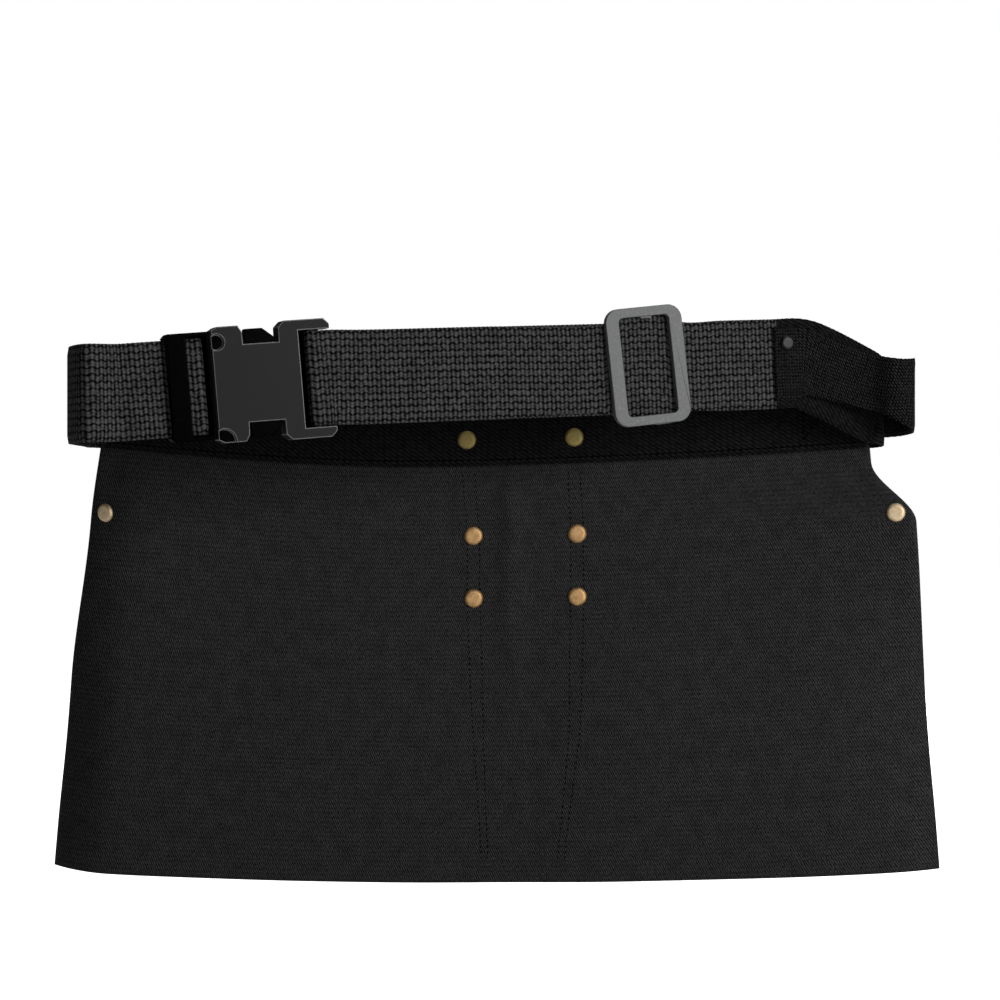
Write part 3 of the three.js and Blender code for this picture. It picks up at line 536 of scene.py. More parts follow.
@dataclass(frozen=True)
class Woven:
    """A woven cloth: yarns crossing at a fixed pitch, read from the UV map in millimetres.

    Attributes:
        name: the material's name.
        gap: sRGB colour down between the yarns.
        yarn: sRGB colour of the yarn.
        crown: sRGB colour where a yarn comes over the top.
        along: pitch along the cloth's U direction.
        across: pitch along its V direction.
        relief: height of the yarns.
        fuzz: how uneven the yarns are, from 0 to 1.
        roughness: surface roughness.
        gloss: specular level.
        slant: share of the pattern that runs diagonally, from 0 to 1.
        zigzag: how far the rows weave up and down.
        ribbing: strength of a second row between two rows.
        columns: weight of the columns against the rows, from 0 to 2.
    """

    name: str
    gap: str
    yarn: str
    crown: str
    along: float
    across: float
    relief: float
    fuzz: float
    roughness: float
    gloss: float
    slant: float = 0.0
    zigzag: float = 0.0
    ribbing: float = 0.0
    columns: float = 1.0

    def material(self) -> Material:
        """Builds the material."""
        shader = Shader(self.name)
        place = shader.add("UVMap", uv_map="mm").outputs[0]
        soft = shader.noise(place, 0.11, 3.0, noise_dimensions="2D").outputs[0]
        wander = shader.noise(place, 0.35, 2.0, noise_dimensions="2D").outputs["Color"]
        strayed = shader.add(
            "VectorMath", {0: wander, 1: (0.7, 0.7, 0.0)}, operation="MULTIPLY"
        ).outputs[0]
        bent = shader.add("VectorMath", {0: place, 1: strayed}, operation="ADD").outputs[0]
        split = shader.add("SeparateXYZ", {0: bent})
        column = shader.wave(split.outputs[0], self.along)
        sway = shader.math("MULTIPLY", shader.wave(split.outputs[0], 2 * self.along), self.zigzag)
        bowed = shader.math("ADD", split.outputs[1], sway)
        row = shader.wave(bowed, self.across)
        stretched = shader.math("MULTIPLY", split.outputs[1], self.along / self.across)
        diagonal = shader.wave(shader.math("SUBTRACT", split.outputs[0], stretched), self.along)
        half_row = shader.math("MULTIPLY", shader.wave(bowed, self.across / 2), self.ribbing)
        rows = shader.math("MULTIPLY", shader.math("SUBTRACT", row, half_row), 2 - self.columns)
        square = shader.math("ADD", shader.math("MULTIPLY", column, self.columns), rows)
        slanted = shader.math("MULTIPLY", diagonal, 2 * self.slant)
        straight = shader.math("MULTIPLY", square, 1 - self.slant)
        weave = shader.math("ADD", slanted, straight)
        grain = shader.noise(place, 1 / self.along, 2.0, noise_dimensions="2D").outputs[0]
        rough_grain = shader.math("MULTIPLY", shader.math("SUBTRACT", grain, 0.5), 6 * self.fuzz)
        height = shader.math("ADD", shader.math("MULTIPLY", weave, 0.25), rough_grain)
        level = shader.math("ADD", height, 0.5)
        colour = shader.ramp(level, [(0.13, self.gap), (0.33, self.yarn), (0.9, self.crown)])
        shaded = shader.add("MixRGB", {0: 0.35, 1: colour, 2: soft}, blend_type="OVERLAY").outputs[0]
        surface = shader.add(
            "BsdfPrincipled",
            {
                "Base Color": shaded,
                "Roughness": self.roughness,
                "Specular IOR Level": self.gloss,
                "Normal": shader.bump(level, self.relief),
            },
        )
        return shader.finish(surface)


@dataclass(frozen=True)
class Moulded:
    """An injection-moulded plastic with a fine satin grain.

    Attributes:
        name: the material's name.
        colour: sRGB colour.
        worn_and_lit: sRGB colour of its paler places, those scuffed in use; on the socket's edge finish both
            colours are painted highlight.
        roughness: surface roughness.
        grain: height of the grain.
        gloss: specular level.
    """

    name: str
    colour: str
    worn_and_lit: str
    roughness: float
    grain: float
    gloss: float

    def material(self) -> Material:
        """Builds the material."""
        shader = Shader(self.name)
        place = shader.add("TexCoord").outputs["Object"]
        pitted = shader.noise(place, 1800.0, 2.0).outputs[0]
        rubbed_and_lit = shader.noise(place, 620.0, 3.0).outputs[0]
        colour = shader.ramp(rubbed_and_lit, [(0.5, self.colour), (0.78, self.worn_and_lit)])
        dull = shader.math("ADD", shader.math("MULTIPLY", rubbed_and_lit, 0.16), self.roughness - 0.08)
        surface = shader.add(
            "BsdfPrincipled",
            {
                "Base Color": colour,
                "Roughness": dull,
                "IOR": 1.5,
                "Specular IOR Level": self.gloss,
                "Normal": shader.bump(pitted, self.grain),
            },
        )
        return shader.finish(surface)


@dataclass(frozen=True)
class StampedMetal:
    """A stamped metal: brass that has dulled in places, or enamelled steel.

    Attributes:
        name: the material's name.
        bright: sRGB colour of the clean metal.
        dull: sRGB colour of the places where it has dulled.
        metallic: 1 for bare metal, 0 for enamel.
        roughness: surface roughness.
    """

    name: str
    bright: str
    dull: str
    metallic: float
    roughness: float

    def material(self) -> Material:
        """Builds the material."""
        shader = Shader(self.name)
        place = shader.add("TexCoord").outputs["Object"]
        stained = shader.noise(place, 420.0, 4.0).outputs[0]
        scratched = shader.noise(place, 2600.0, 2.0).outputs[0]
        colour = shader.ramp(stained, [(0.35, self.dull), (0.62, self.bright)])
        rough = shader.math("ADD", shader.math("MULTIPLY", stained, 0.2), self.roughness - 0.1)
        surface = shader.add(
            "BsdfPrincipled",
            {
                "Base Color": colour,
                "Metallic": self.metallic,
                "Specular IOR Level": 0.2,
                "Roughness": rough,
                "Normal": shader.bump(scratched, 0.02),
            },
        )
        return shader.finish(surface)


FINISHES = {
    # heavy cotton duck, vat-dyed black
    "canvas": Woven(
        "black_duck", "#080808", "#191919", "#303030", along=1.34, across=2.78,
        relief=0.22, fuzz=0.15, roughness=0.95, gloss=0.06, slant=0.7,
    ),
    # polypropylene belt webbing with raised yarns
    "belt": Woven(
        "black_webbing", "#000000", "#171717", "#404040", along=2.45, across=3.6,
        relief=0.5, fuzz=0.16, roughness=0.85, gloss=0.05, zigzag=0.42, ribbing=0.7, columns=1.1,
    ),
    # the waistband's flatter, finer webbing, its colours darkened as painted shade for the near belt's
    # shadow
    "band": Woven(
        "band_webbing_painted_shade", "#010101", "#080808", "#151515", along=3.7, across=2.4,
        relief=0.3, fuzz=0.12, roughness=0.9, gloss=0.05, slant=0.6,
    ),
    # ballistic nylon of thick filament yarn
    "nylon": Woven(
        "ballistic_nylon", "#000000", "#050505", "#242424", along=1.6, across=1.8,
        relief=0.25, fuzz=0.12, roughness=0.7, gloss=0.01, slant=0.5,
    ),
    # bonded nylon thread
    "thread": Moulded("black_thread", "#060606", "#101010", roughness=0.7, grain=0.0, gloss=0.1),
    # the same thread pulled down into the cloth, darker as painted shade
    "thread_painted_shade": Moulded("thread_painted_shade", "#030303", "#060606", roughness=0.9, grain=0.0, gloss=0.0),
    # acetal, injection-moulded with a spark-eroded grain
    "black_plastic": Moulded(
        "black_acetal", "#0e0e0f", "#131313", roughness=0.5, grain=0.012, gloss=0.1
    ),
    # acetal from a mould finished to a mirror; on the socket's notch floors it is laid as painted shade
    "polished_and_shade_plastic": Moulded(
        "polished_acetal_and_shade", "#000000", "#010101", roughness=0.25, grain=0.004, gloss=0.01
    ),
    # painted highlight: pale, glossy acetal on the socket's rounded edges, where light catches them
    "rubbed_and_lit_plastic": Moulded(
        "acetal_painted_edge_highlight", "#4a4a49", "#6a6a68", roughness=0.35, grain=0.0, gloss=0.5
    ),
    # glass-filled nylon
    "grey_plastic": Moulded(
        "grey_nylon", "#4a4b4b", "#606060", roughness=0.5, grain=0.06, gloss=0.3
    ),
    # stamped brass, dulled evenly
    "brass": StampedMetal("aged_brass", "#bd9a6c", "#a3825a", metallic=1.0, roughness=0.62),
    # painted shade: the same brass, darker and olive, for the rivets through the band, which lies in shade
    "band_shade_brass": StampedMetal("brass_painted_shade", "#958754", "#85774a", metallic=1.0, roughness=0.65),
    # painted light: the same brass, paler, for the two rivets at the panel's side edges
    "brass_painted_light": StampedMetal("brass_painted_light", "#d8c6a8", "#c4ac88", metallic=1.0, roughness=0.62),
    # stove-enamelled steel
    "enamel": StampedMetal("black_enamel", "#070708", "#050506", metallic=0.0, roughness=0.45),
}


def dress(obj: Object, material: Material, slot: Slot, *nodes: str) -> Object:
    """Gives a piece its material and body, and hides the CAD nodes that it stands for."""
    obj.data.materials.clear()
    obj.data.materials.append(material)
    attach(obj, "root")
    if nodes:
        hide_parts(*nodes)
    return obj


def shown(name: str, bm: bmesh.types.BMesh) -> Object:
    """Puts a built mesh in the scene as an object with smooth shading, and frees it."""
    mesh = bpy.data.meshes.new(name)
    bm.to_mesh(mesh)
    bm.free()
    obj = bpy.data.objects.new(name, mesh)
    bpy.context.scene.collection.objects.link(obj)
    mesh.shade_smooth()
    return obj


def grid_mesh(
    name: str, columns: int, rows: int, place: Surface, flat: Callable[[Array, Array], Array]
) -> Object:
    """Lays a grid on a surface.

    Args:
        name: the piece's name.
        columns: its faces across.
        rows: its faces down.
        place: points in millimetres, from the shares across and down.
        flat: the same places on the flat cloth in millimetres, for its UV map.

    Returns:
        The open sheet.
    """
    bm = bmesh.new()
    bmesh.ops.create_grid(bm, x_segments=columns, y_segments=rows, size=0.5)
    corners = np.array([vert.co for vert in bm.verts])
    u = np.clip(corners[:, 0] + 0.5, 0, 1)
    v = np.clip(0.5 - corners[:, 1], 0, 1)
    spots = place(u, v) * MM
    laid = flat(u, v)
    for vert, spot in zip(bm.verts, spots):
        vert.co = spot
    obj = shown(name, bm)
    mesh = obj.data
    layer = mesh.uv_layers.new(name="mm")
    corner_of = np.zeros(len(mesh.loops), int)
    mesh.loops.foreach_get("vertex_index", corner_of)
    layer.data.foreach_set("uv", laid[corner_of].astype(np.float32).ravel())
    shares = obj.data.attributes.new("share", "FLOAT2", "POINT")
    shares.data.foreach_set("vector", np.stack([u, v], axis=1).astype(np.float32).ravel())
    return obj


def thicken(obj: Object, thickness: float, factor: Callable[[Array, Array], Array]) -> None:
    """Gives an open sheet its thickness, on both sides.

    Args:
        obj: the sheet.
        thickness: its greatest thickness.
        factor: its share of that, from the shares across and down.
    """
    shares = np.zeros(2 * len(obj.data.vertices), np.float32)
    obj.data.attributes["share"].data.foreach_get("vector", shares)
    shares = shares.reshape(-1, 2).astype(float)
    group = obj.vertex_groups.new(name="thickness")
    weights = np.round(np.clip(factor(shares[:, 0], shares[:, 1]), 0, 1), 2)
    for weight in np.unique(weights):
        group.add(np.flatnonzero(weights == weight).tolist(), float(weight), "REPLACE")
    solid = obj.modifiers.new("thickness", "SOLIDIFY")
    solid.thickness = thickness * MM
    solid.offset = 0
    solid.use_even_offset = True
    solid.use_quality_normals = True
    solid.vertex_group = "thickness"


@dataclass
class CanvasPiece:
    """One piece of black cotton duck, laid on a surface.

    Attributes:
        name: the piece's name, which is also its CAD node's.
        surface: its middle surface.
        thickness: the canvas's thickness.
        columns: faces across.
        rows: faces down.
        side_hem: width of the turned hem at its sides.
        top_hem: width of the turned hem at its mouth.
        foot_hem: width of the turned hem at its foot.
    """

    name: str
    surface: Surface
    thickness: float
    columns: int
    rows: int
    side_hem: float = 9.0
    top_hem: float = 11.0
    foot_hem: float = 10.0

    def lengths(self) -> tuple[float, float]:
        """Width and height of the flat cloth, measured along the surface."""
        steps = np.linspace(0, 1, 160)
        across = self.surface(steps, np.full_like(steps, 0.6))
        down = self.surface(np.full_like(steps, 0.5), steps)
        widths = np.linalg.norm(np.diff(across, axis=0), axis=1).sum()
        heights = np.linalg.norm(np.diff(down, axis=0), axis=1).sum()
        return float(widths), float(heights)

    def flat(self, u: Array, v: Array) -> Array:
        """Places on the flat cloth in millimetres."""
        width, height = self.lengths()
        return np.stack([u * width, v * height], axis=-1)

    def hem_factor(self, u: Array, v: Array) -> Array:
        """Share of the greatest thickness: full in the hems, less beside them, thin at the fold."""
        width, height = self.lengths()
        from_side = np.minimum(u, 1 - u) * width
        from_top = v * height
        from_foot = (1 - v) * height
        inside = np.minimum(
            np.minimum(from_side / self.side_hem, from_top / self.top_hem), from_foot / self.foot_hem
        )
        hemmed = 1 - smoothstep(inside, 0.9, 1.1)
        edge = np.minimum(np.minimum(from_side, from_top), from_foot)
        return lerp(0.8, 1.0, hemmed) * lerp(0.45, 1.0, smoothstep(edge, 0.0, 1.6))

    def build(self, material: Material) -> Object:
        """Makes the piece and dresses it."""
        obj = grid_mesh(f"{self.name}_canvas", self.columns, self.rows, self.surface, self.flat)
        thicken(obj, self.thickness * 1.2, self.hem_factor)
        width, height = self.lengths()
        dress(obj, material, Slot.CANVAS, self.name)
        return obj


@dataclass
class Strap:
    """A strap standing on edge along a run of stops.

    Attributes:
        name: the piece's name, which is also its CAD node's.
        stops: one row a stop: a point, the strap's width and its upright direction.
        thickness: its thickness.
        step: length of one face along it.
        rows: faces across it.
        edge_pitch: pitch of the small loops along its woven edges.
    """

    name: str
    stops: Array
    thickness: float
    step: float = 0.9
    rows: int = 12
    edge_pitch: float = 2.4

    def path(self) -> Array:
        """Its evenly spaced stops."""
        return smooth_run(self.stops, self.step)

    def build(self, material: Material, slot: Slot) -> Object:
        """Makes the strap and dresses it."""
        path = self.path()
        middle, wide, lean = path[:, :3], path[:, 3], path[:, 4:7]
        along = np.gradient(middle, axis=0)
        along /= np.linalg.norm(along, axis=1, keepdims=True)
        upright = lean - along * (along * lean).sum(axis=1, keepdims=True)
        upright /= np.linalg.norm(upright, axis=1, keepdims=True)
        reach = np.concatenate([[0], np.cumsum(np.linalg.norm(np.diff(middle, axis=0), axis=1))])
        last = len(path) - 1

        def place(u: Array, v: Array) -> Array:
            index = np.rint(u * last).astype(int)
            ripple = 0.22 * np.cos(2 * np.pi * reach[index] / self.edge_pitch)
            edge = 1 - smoothstep(np.minimum(v, 1 - v), 0.0, 0.03)
            up = (0.5 - v) * (wide[index] + ripple * edge)
            return middle[index] + upright[index] * up[:, None]

        def flat(u: Array, v: Array) -> Array:
            index = np.rint(u * last).astype(int)
            return np.stack([reach[index], v * wide[index]], axis=-1)

        obj = grid_mesh(f"{self.name}_woven", last, self.rows, place, flat)
        thicken(obj, self.thickness, self.edge_factor)
        return dress(obj, material, slot, self.name)

    def edge_factor(self, u: Array, v: Array) -> Array:
        """Share of the thickness: rounded off at both edges."""
        return lerp(0.4, 1.0, smoothstep(np.minimum(v, 1 - v), 0.0, 0.05))


def stop(point: Sequence[float], width: float, upright: Sequence[float]) -> tuple[float, ...]:
    """One row of a strap's stops."""
    return (*map(float, point), width, *map(float, upright))


def webbing(
    line: Sequence[Sequence[float]], upright: Sequence[float] = (0, 0, 1)
) -> list[tuple[float, ...]]:
    """Stops of full-width webbing through points."""
    return [stop(point, WEBBING_WIDTH, upright) for point in line]


def loop_point(across: float, deep: float, up: float, reach: float = HALF_LOOP) -> Vector:
    """A point of the belt's loop, as shares of its reach and depth, and a height."""
    return Vector((across * reach, BAND_BACK + deep * LOOP_DEPTH, up))


@dataclass
class Belt:
    """The waistband and the two belt straps, sewn on behind its ends."""

    material: Material
    band_and_shade_material: Material

    def band(self) -> Strap:
        """The band sewn along the panel's top."""
        line = band_point(np.linspace(0, 1, 60))
        return Strap("waistband", np.array(webbing(line)), WEBBING_THICKNESS)

    def left(self) -> Strap:
        """From the plug's inner bar round the left side to the band's left end."""
        overlap = STRAP_OVERLAP / BAND_LENGTH
        buckle_end = [
            at_buckle(PLUG_BAR - 30, -LAYER),
            at_buckle(PLUG_BAR - 18, -LAYER),
            at_buckle(PLUG_BAR - 8, BAR_OUT - BAR_TURN * 0.75),
            *half_turn(at_buckle, PLUG_BAR, BAR_OUT, BAR_TURN, True),
            at_buckle(PLUG_BAR - 3, 1.1),
            at_buckle(PLUG_BAR - 5.5, 0.45),
            at_buckle(PLUG_BAR - 9, 0.05),
            at_buckle(PLUG_BAR - 14, 0),
            at_buckle(PLUG_BAR - 22, 0),
        ]
        # across and deep as shares of the loop, and height
        turn = [
            (-0.98, -1.19, 10.4),
            (-1.035, -1.05, 10.2),
            (-1.06, -0.74, 10.4),
            (-1.072, -0.42, 10.6),
            (-1.085, -0.24, 10.8),
            (-1.09, -0.125, 10.8),
            (-1.075, -0.072, 10.8),
        ]
        side = [
            at_buckle(PLUG_BAR - 32, 0),
            at_buckle(PLUG_BAR - 42, 0),
            *(loop_point(*row) for row in turn),
            band_point(overlap * 0.3, STRAP_END_LAYER + GAP),
            band_point(overlap * 0.65, STRAP_END_LAYER),
            band_point(overlap, STRAP_END_LAYER),
        ]
        stops = [*webbing(buckle_end, BUCKLE_UP), *webbing(side)]
        return Strap("belt_left_strap", np.array(stops), WEBBING_THICKNESS)

    def right(self) -> Strap:
        """From the slider's middle bar to the socket's bar, back through the slider, to the band."""
        overlap = STRAP_OVERLAP / BAND_LENGTH
        middle = (SLIDER_PLACE + SOCKET_BAR) / 2
        slider_turn = [
            near(SLIDER_PLACE - 34, -2 * LAYER),
            near(SLIDER_PLACE - 22, -2 * LAYER),
            near(SLIDER_PLACE - 12, MIDDLE_OUT - MIDDLE_TURN * 0.6),
            *half_turn(near, SLIDER_PLACE, MIDDLE_OUT, MIDDLE_TURN, True),
            near(SLIDER_PLACE - 20, -LAYER),
            near(middle, -LAYER),
            near(SOCKET_BAR + 26, -LAYER),
        ]
        socket_turn = [
            at_buckle(SOCKET_BAR + 9, -LAYER - 0.5),
            at_buckle(SOCKET_BAR + 4, BAR_OUT - BAR_TURN * 0.9),
            *half_turn(at_buckle, SOCKET_BAR, BAR_OUT, BAR_TURN, False),
            at_buckle(SOCKET_BAR + 4, 1.4),
            at_buckle(SOCKET_BAR + 9, 0.5),
        ]
        # place beside the slider's middle, and how much wider the webbing is there
        filling = (
            (-SLIDER_FILL_REACH, 0),
            (-SLIDER_FILL_HALF, SLIDER_FILL),
            (SLIDER_FILL_HALF, SLIDER_FILL),
            (SLIDER_FILL_REACH, 0),
        )
        in_slider = [
            stop(near(SLIDER_PLACE + beside, 0), WEBBING_WIDTH + wider, NEAR_UP)
            for beside, wider in filling
        ]
        # across and deep as shares of the loop, and height
        turn = [(0.93, -0.178, 19.5), (0.974, -0.15, 14.5), (1.009, -0.108, 11.6), (0.99, -0.074, 10.7)]
        side = [
            near(LOOP_START, 0),
            near(LOOP_START + 16, 0),
            near(LOOP_LEAVES - 6, 0, -3),
            *(loop_point(*row) for row in turn),
            band_point(1 - overlap * 0.25, STRAP_END_LAYER),
            band_point(1 - overlap * 0.6, STRAP_END_LAYER),
            band_point(1 - overlap, STRAP_END_LAYER),
        ]
        stops = [
            *webbing(slider_turn, NEAR_UP),
            *webbing(socket_turn, BUCKLE_UP),
            *webbing([near(SOCKET_BAR + 26, 0), near(middle, 0)], NEAR_UP),
            *in_slider,
            *webbing([near(LOOP_START - 30, 0)], NEAR_UP),
            *webbing(side),
        ]
        return Strap("belt_right_strap", np.array(stops), WEBBING_THICKNESS)

    def build(self) -> list[Object]:
        """Makes the band and both straps."""
        straps = [self.band().build(self.band_and_shade_material, Slot.WEBBING)]
        straps += [strap.build(self.material, Slot.WEBBING) for strap in (self.left(), self.right())]
        # painted shade: the right strap's turn and its sewn end take the band's darker webbing, as they lie
        # in the belt's shade
        turned = straps[-1].data
        turned.materials.append(self.band_and_shade_material)
        for face in turned.polygons:
            reach = PAINTED_SHADE_FROM_X - (PAINTED_SHADE_TOP_LEAD if face.center.z > 0 else 0)
            behind_band = face.center.y > (BAND_BACK - BAND_BOW) * MM
            face.material_index = int(behind_band or face.center.x > reach * MM)
        return straps


@dataclass
class HammerLoop:
    """The flat nylon loop at the belt's right end."""

    material: Material

    def strap(self) -> Strap:
        """The loop's run, from its rivet round the right side to the band."""
        out = WEBBING_THICKNESS / 2 + GAP + LOOP_THICKNESS / 2
        overlap = STRAP_OVERLAP / BAND_LENGTH
        # across and deep as shares of the loop, height, and share of the loop's full width
        turn = [
            (0.893, -0.26, 22, 0.76),
            (0.943, -0.3, 19, 0.8),
            (0.985, -0.28, 16.5, 0.94),
            (1, -0.2, 15, 1),
            (1, -0.1, 14, 1),
            (0.978, -0.025, 13, 1),
            (0.93, -0.01, 12, 1),
        ]
        route = [
            (near(LOOP_START, out), 1),
            (near(LOOP_START + 9, out), 1),
            (near(LOOP_START + 18, out + 0.2), 0.97),
            (near(LOOP_LEAVES - 6, out + 1.5, -2), 0.86),
            *((loop_point(across, deep, up, LOOP_REACH), wide) for across, deep, up, wide in turn),
            (band_point(1 - overlap * 0.25, LOOP_END_LAYER + 2 * GAP), 1),
            (band_point(1 - overlap * 0.55, LOOP_END_LAYER + GAP), 1),
            (band_point(1 - overlap * 0.85, LOOP_END_LAYER + GAP), 1),
        ]
        stops = [stop(point, LOOP_WIDTH * wide, (0, 0, 1)) for point, wide in route]
        return Strap("hammer_loop", np.array(stops), LOOP_THICKNESS, edge_pitch=1.2)

    def build(self) -> Object:
        """Makes the loop."""
        return self.strap().build(self.material, Slot.NYLON)


@dataclass(frozen=True)
class Rivet:
    """A two-headed rivet through the panel.

    Attributes:
        name: its CAD node.
        u: share across the panel.
        drop: distance below the panel's top edge.
        layers: canvas layers behind the panel.
        band: whether it also goes through the band before the panel.
    """

    name: str
    u: float
    drop: float
    layers: int
    band: bool = False

    def ends(self) -> tuple[Vector, Vector]:
        """The outer faces of what it clamps, on the wearer's side and on the far side."""
        u, v = np.array([self.u]), np.array([drop_share(self.drop)])
        before = PANEL_THICKNESS / 2 + (GAP + WEBBING_THICKNESS if self.band else 0)
        behind = PANEL_THICKNESS / 2 + self.layers * (POUCH_THICKNESS + CLOTH_GAP)
        start = off_surface(panel_surface, u, v, -before)[0]
        end = off_surface(panel_surface, u, v, behind)[0]
        return Vector(start), Vector(end)


def put_in_order(bm: bmesh.types.BMesh) -> None:
    """Orders a mesh's edges and faces by their vertices, so that every run gives the same mesh."""
    bm.verts.index_update()
    count = len(bm.verts)

    def rank(item: bmesh.types.BMEdge | bmesh.types.BMFace) -> float:
        lowest = sorted(vert.index for vert in item.verts)[:3]
        return float(sum(index * count**power for power, index in zip((2, 1, 0), lowest)))

    bm.edges.sort(key=rank)
    bm.faces.sort(key=rank)


def rivet_heads(name: str, start: Vector, end: Vector, head: float, dome: float) -> Object:
    """Makes a rivet's two domed heads and the shank between them.

    Args:
        name: the piece's name.
        start: the near head's middle, on its flat side.
        end: the far head's middle.
        head: the heads' diameter.
        dome: how far they stand out.

    Returns:
        The rivet.
    """
    bm = bmesh.new()
    turn = (end - start).to_track_quat("Z", "Y").to_matrix().to_4x4()
    for place, sign in ((start, -1), (end, 1)):
        made = bmesh.ops.create_uvsphere(bm, u_segments=40, v_segments=20, radius=1)["verts"]
        for vert in made:
            outer = vert.co.z * sign > 0
            ring = min(1.0, math.hypot(vert.co.x, vert.co.y))
            rim = 0.3 * dome
            flat_top = dome * (0.94 - 0.94 * ring**12)
            crowned_top = 0.06 * dome * (1 - ring**2)
            crown = flat_top + crowned_top + rim if outer else -0.2 * rim
            shrink = 1 - 0.06 * max(0.0, crown / dome) * ring
            vert.co = Vector((vert.co.x * head / 2 * shrink, vert.co.y * head / 2 * shrink, sign * crown))
        bmesh.ops.transform(bm, matrix=Matrix.Translation(place) @ turn, verts=made)
    middle = Matrix.Translation((start + end) / 2) @ turn
    bmesh.ops.create_cone(
        bm, segments=16, radius1=1.9, radius2=1.9, depth=(end - start).length, cap_ends=True, matrix=middle
    )
    bmesh.ops.transform(bm, matrix=Matrix.Scale(MM, 4), verts=bm.verts)
    bmesh.ops.recalc_face_normals(bm, faces=bm.faces)
    put_in_order(bm)
    return shown(name, bm)


@dataclass
class Rivets:
    """The eight brass rivets, and the enamelled one that holds the hammer loop."""

    brass: Material
    band_shade_brass: Material
    worn_and_lit: Material
    enamel: Material
    head: float = 10.8
    dome: float = 1.5
    loop_head: float = 8.6

    def brass_rows(self) -> list[Rivet]:
        """Where the brass rivets are."""
        rows = []
        for side, seam in (("left", seam_left), ("right", seam_right)):
            for place, drop, layers in (
                ("band", 30.0, 1),
                ("mouth", POUCH_MOUTH_DROP + 9, 2),
                ("pocket", POCKET_MOUTH_DROP + 5, 3),
            ):
                u = float(seam(drop_share(drop)))
                rows.append(Rivet(f"rivet_{place}_{side}", u, drop, layers, place == "band"))
        edge = (SIDE_MARGIN + 4) / BAND_LENGTH
        rows.append(Rivet("rivet_edge_left", edge, POUCH_MOUTH_DROP + 4, 1))
        rows.append(Rivet("rivet_edge_right", 1 - edge, POUCH_MOUTH_DROP + 4, 1))
        return rows

    def build(self) -> list[Object]:
        """Makes all the rivets."""
        made = []
        for rivet in self.brass_rows():
            start, end = rivet.ends()
            obj = rivet_heads(f"{rivet.name}_head", start, end, self.head, self.dome)
            # rivets through one layer, at the panel's side edges, take the paler brass: painted light
            # rivets through the band take the darker brass: painted shade
            finish = self.band_shade_brass if rivet.band else self.worn_and_lit if rivet.layers == 1 else self.brass
            made.append(dress(obj, finish, Slot.BRASS, rivet.name))
        out = WEBBING_THICKNESS / 2 + GAP + LOOP_THICKNESS
        start = near(LOOP_RIVET_ALONG, out, LOOP_RIVET_UP)
        end = near(LOOP_RIVET_ALONG, -WEBBING_THICKNESS / 2, LOOP_RIVET_UP)
        obj = rivet_heads("hammer_loop_rivet_head", start, end, self.loop_head, self.dome)
        made.append(dress(obj, self.enamel, Slot.BLACK_METAL, "hammer_loop_rivet"))
        return made


@dataclass
class Stitching:
    """Thread stitches gathered into one piece.

    Attributes:
        name: the piece's name.
        material: the thread.
        pitch: distance from one stitch to the next.
        length: length of a stitch.
        radius: half the thread's thickness.
        batch: how many stitches are made at a time.
    """

    name: str
    material: Material
    pitch: float = 3.3
    length: float = 2.5
    radius: float = 0.42
    batch: int = 24

    def __post_init__(self) -> None:
        """Starts with no stitches."""
        self.places: list[Matrix] = []

    def run(self, line: Array, away: Array) -> None:
        """Adds a row of stitches.

        Args:
            line: points that it follows, one a row.
            away: the cloth's outward direction at each point.
        """
        rows = resampled(np.hstack([line, away]), self.pitch)
        spots, outs = rows[:, :3], rows[:, 3:]
        for start, end, out in zip(spots[:-1], spots[1:], outs[:-1]):
            along = Vector(end - start).normalized()
            up = Vector(out).normalized()
            side = up.cross(along).normalized()
            turn = Matrix((along, side, along.cross(side))).transposed().to_4x4()
            size = Matrix.Diagonal((self.length / 2, self.radius, self.radius, 1))
            self.places.append(Matrix.Translation(Vector((start + end) / 2)) @ turn @ size)

    def on_surface(self, surface: Surface, u: Array, v: Array, distance: float) -> None:
        """Adds a row of stitches on a surface.

        Args:
            surface: the cloth's middle.
            u: shares across along the row.
            v: shares down along it.
            distance: how far off the middle the thread lies, away from the wearer.
        """
        away = outwards(surface, u, v) * (1 if distance > 0 else -1)
        self.run(off_surface(surface, u, v, distance), away)

    def build(self, slot: Slot) -> Object:
        """Makes the stitches as one piece."""
        gathered = bpy.data.meshes.new("batch")
        whole = bmesh.new()
        for start in range(0, len(self.places), self.batch):
            few = bmesh.new()
            for place in self.places[start : start + self.batch]:
                bmesh.ops.create_icosphere(few, subdivisions=2, radius=1, matrix=Matrix.Scale(MM, 4) @ place)
            few.to_mesh(gathered)
            few.free()
            whole.from_mesh(gathered)
        bpy.data.meshes.remove(gathered)
        return dress(shown(self.name, whole), self.material, slot)


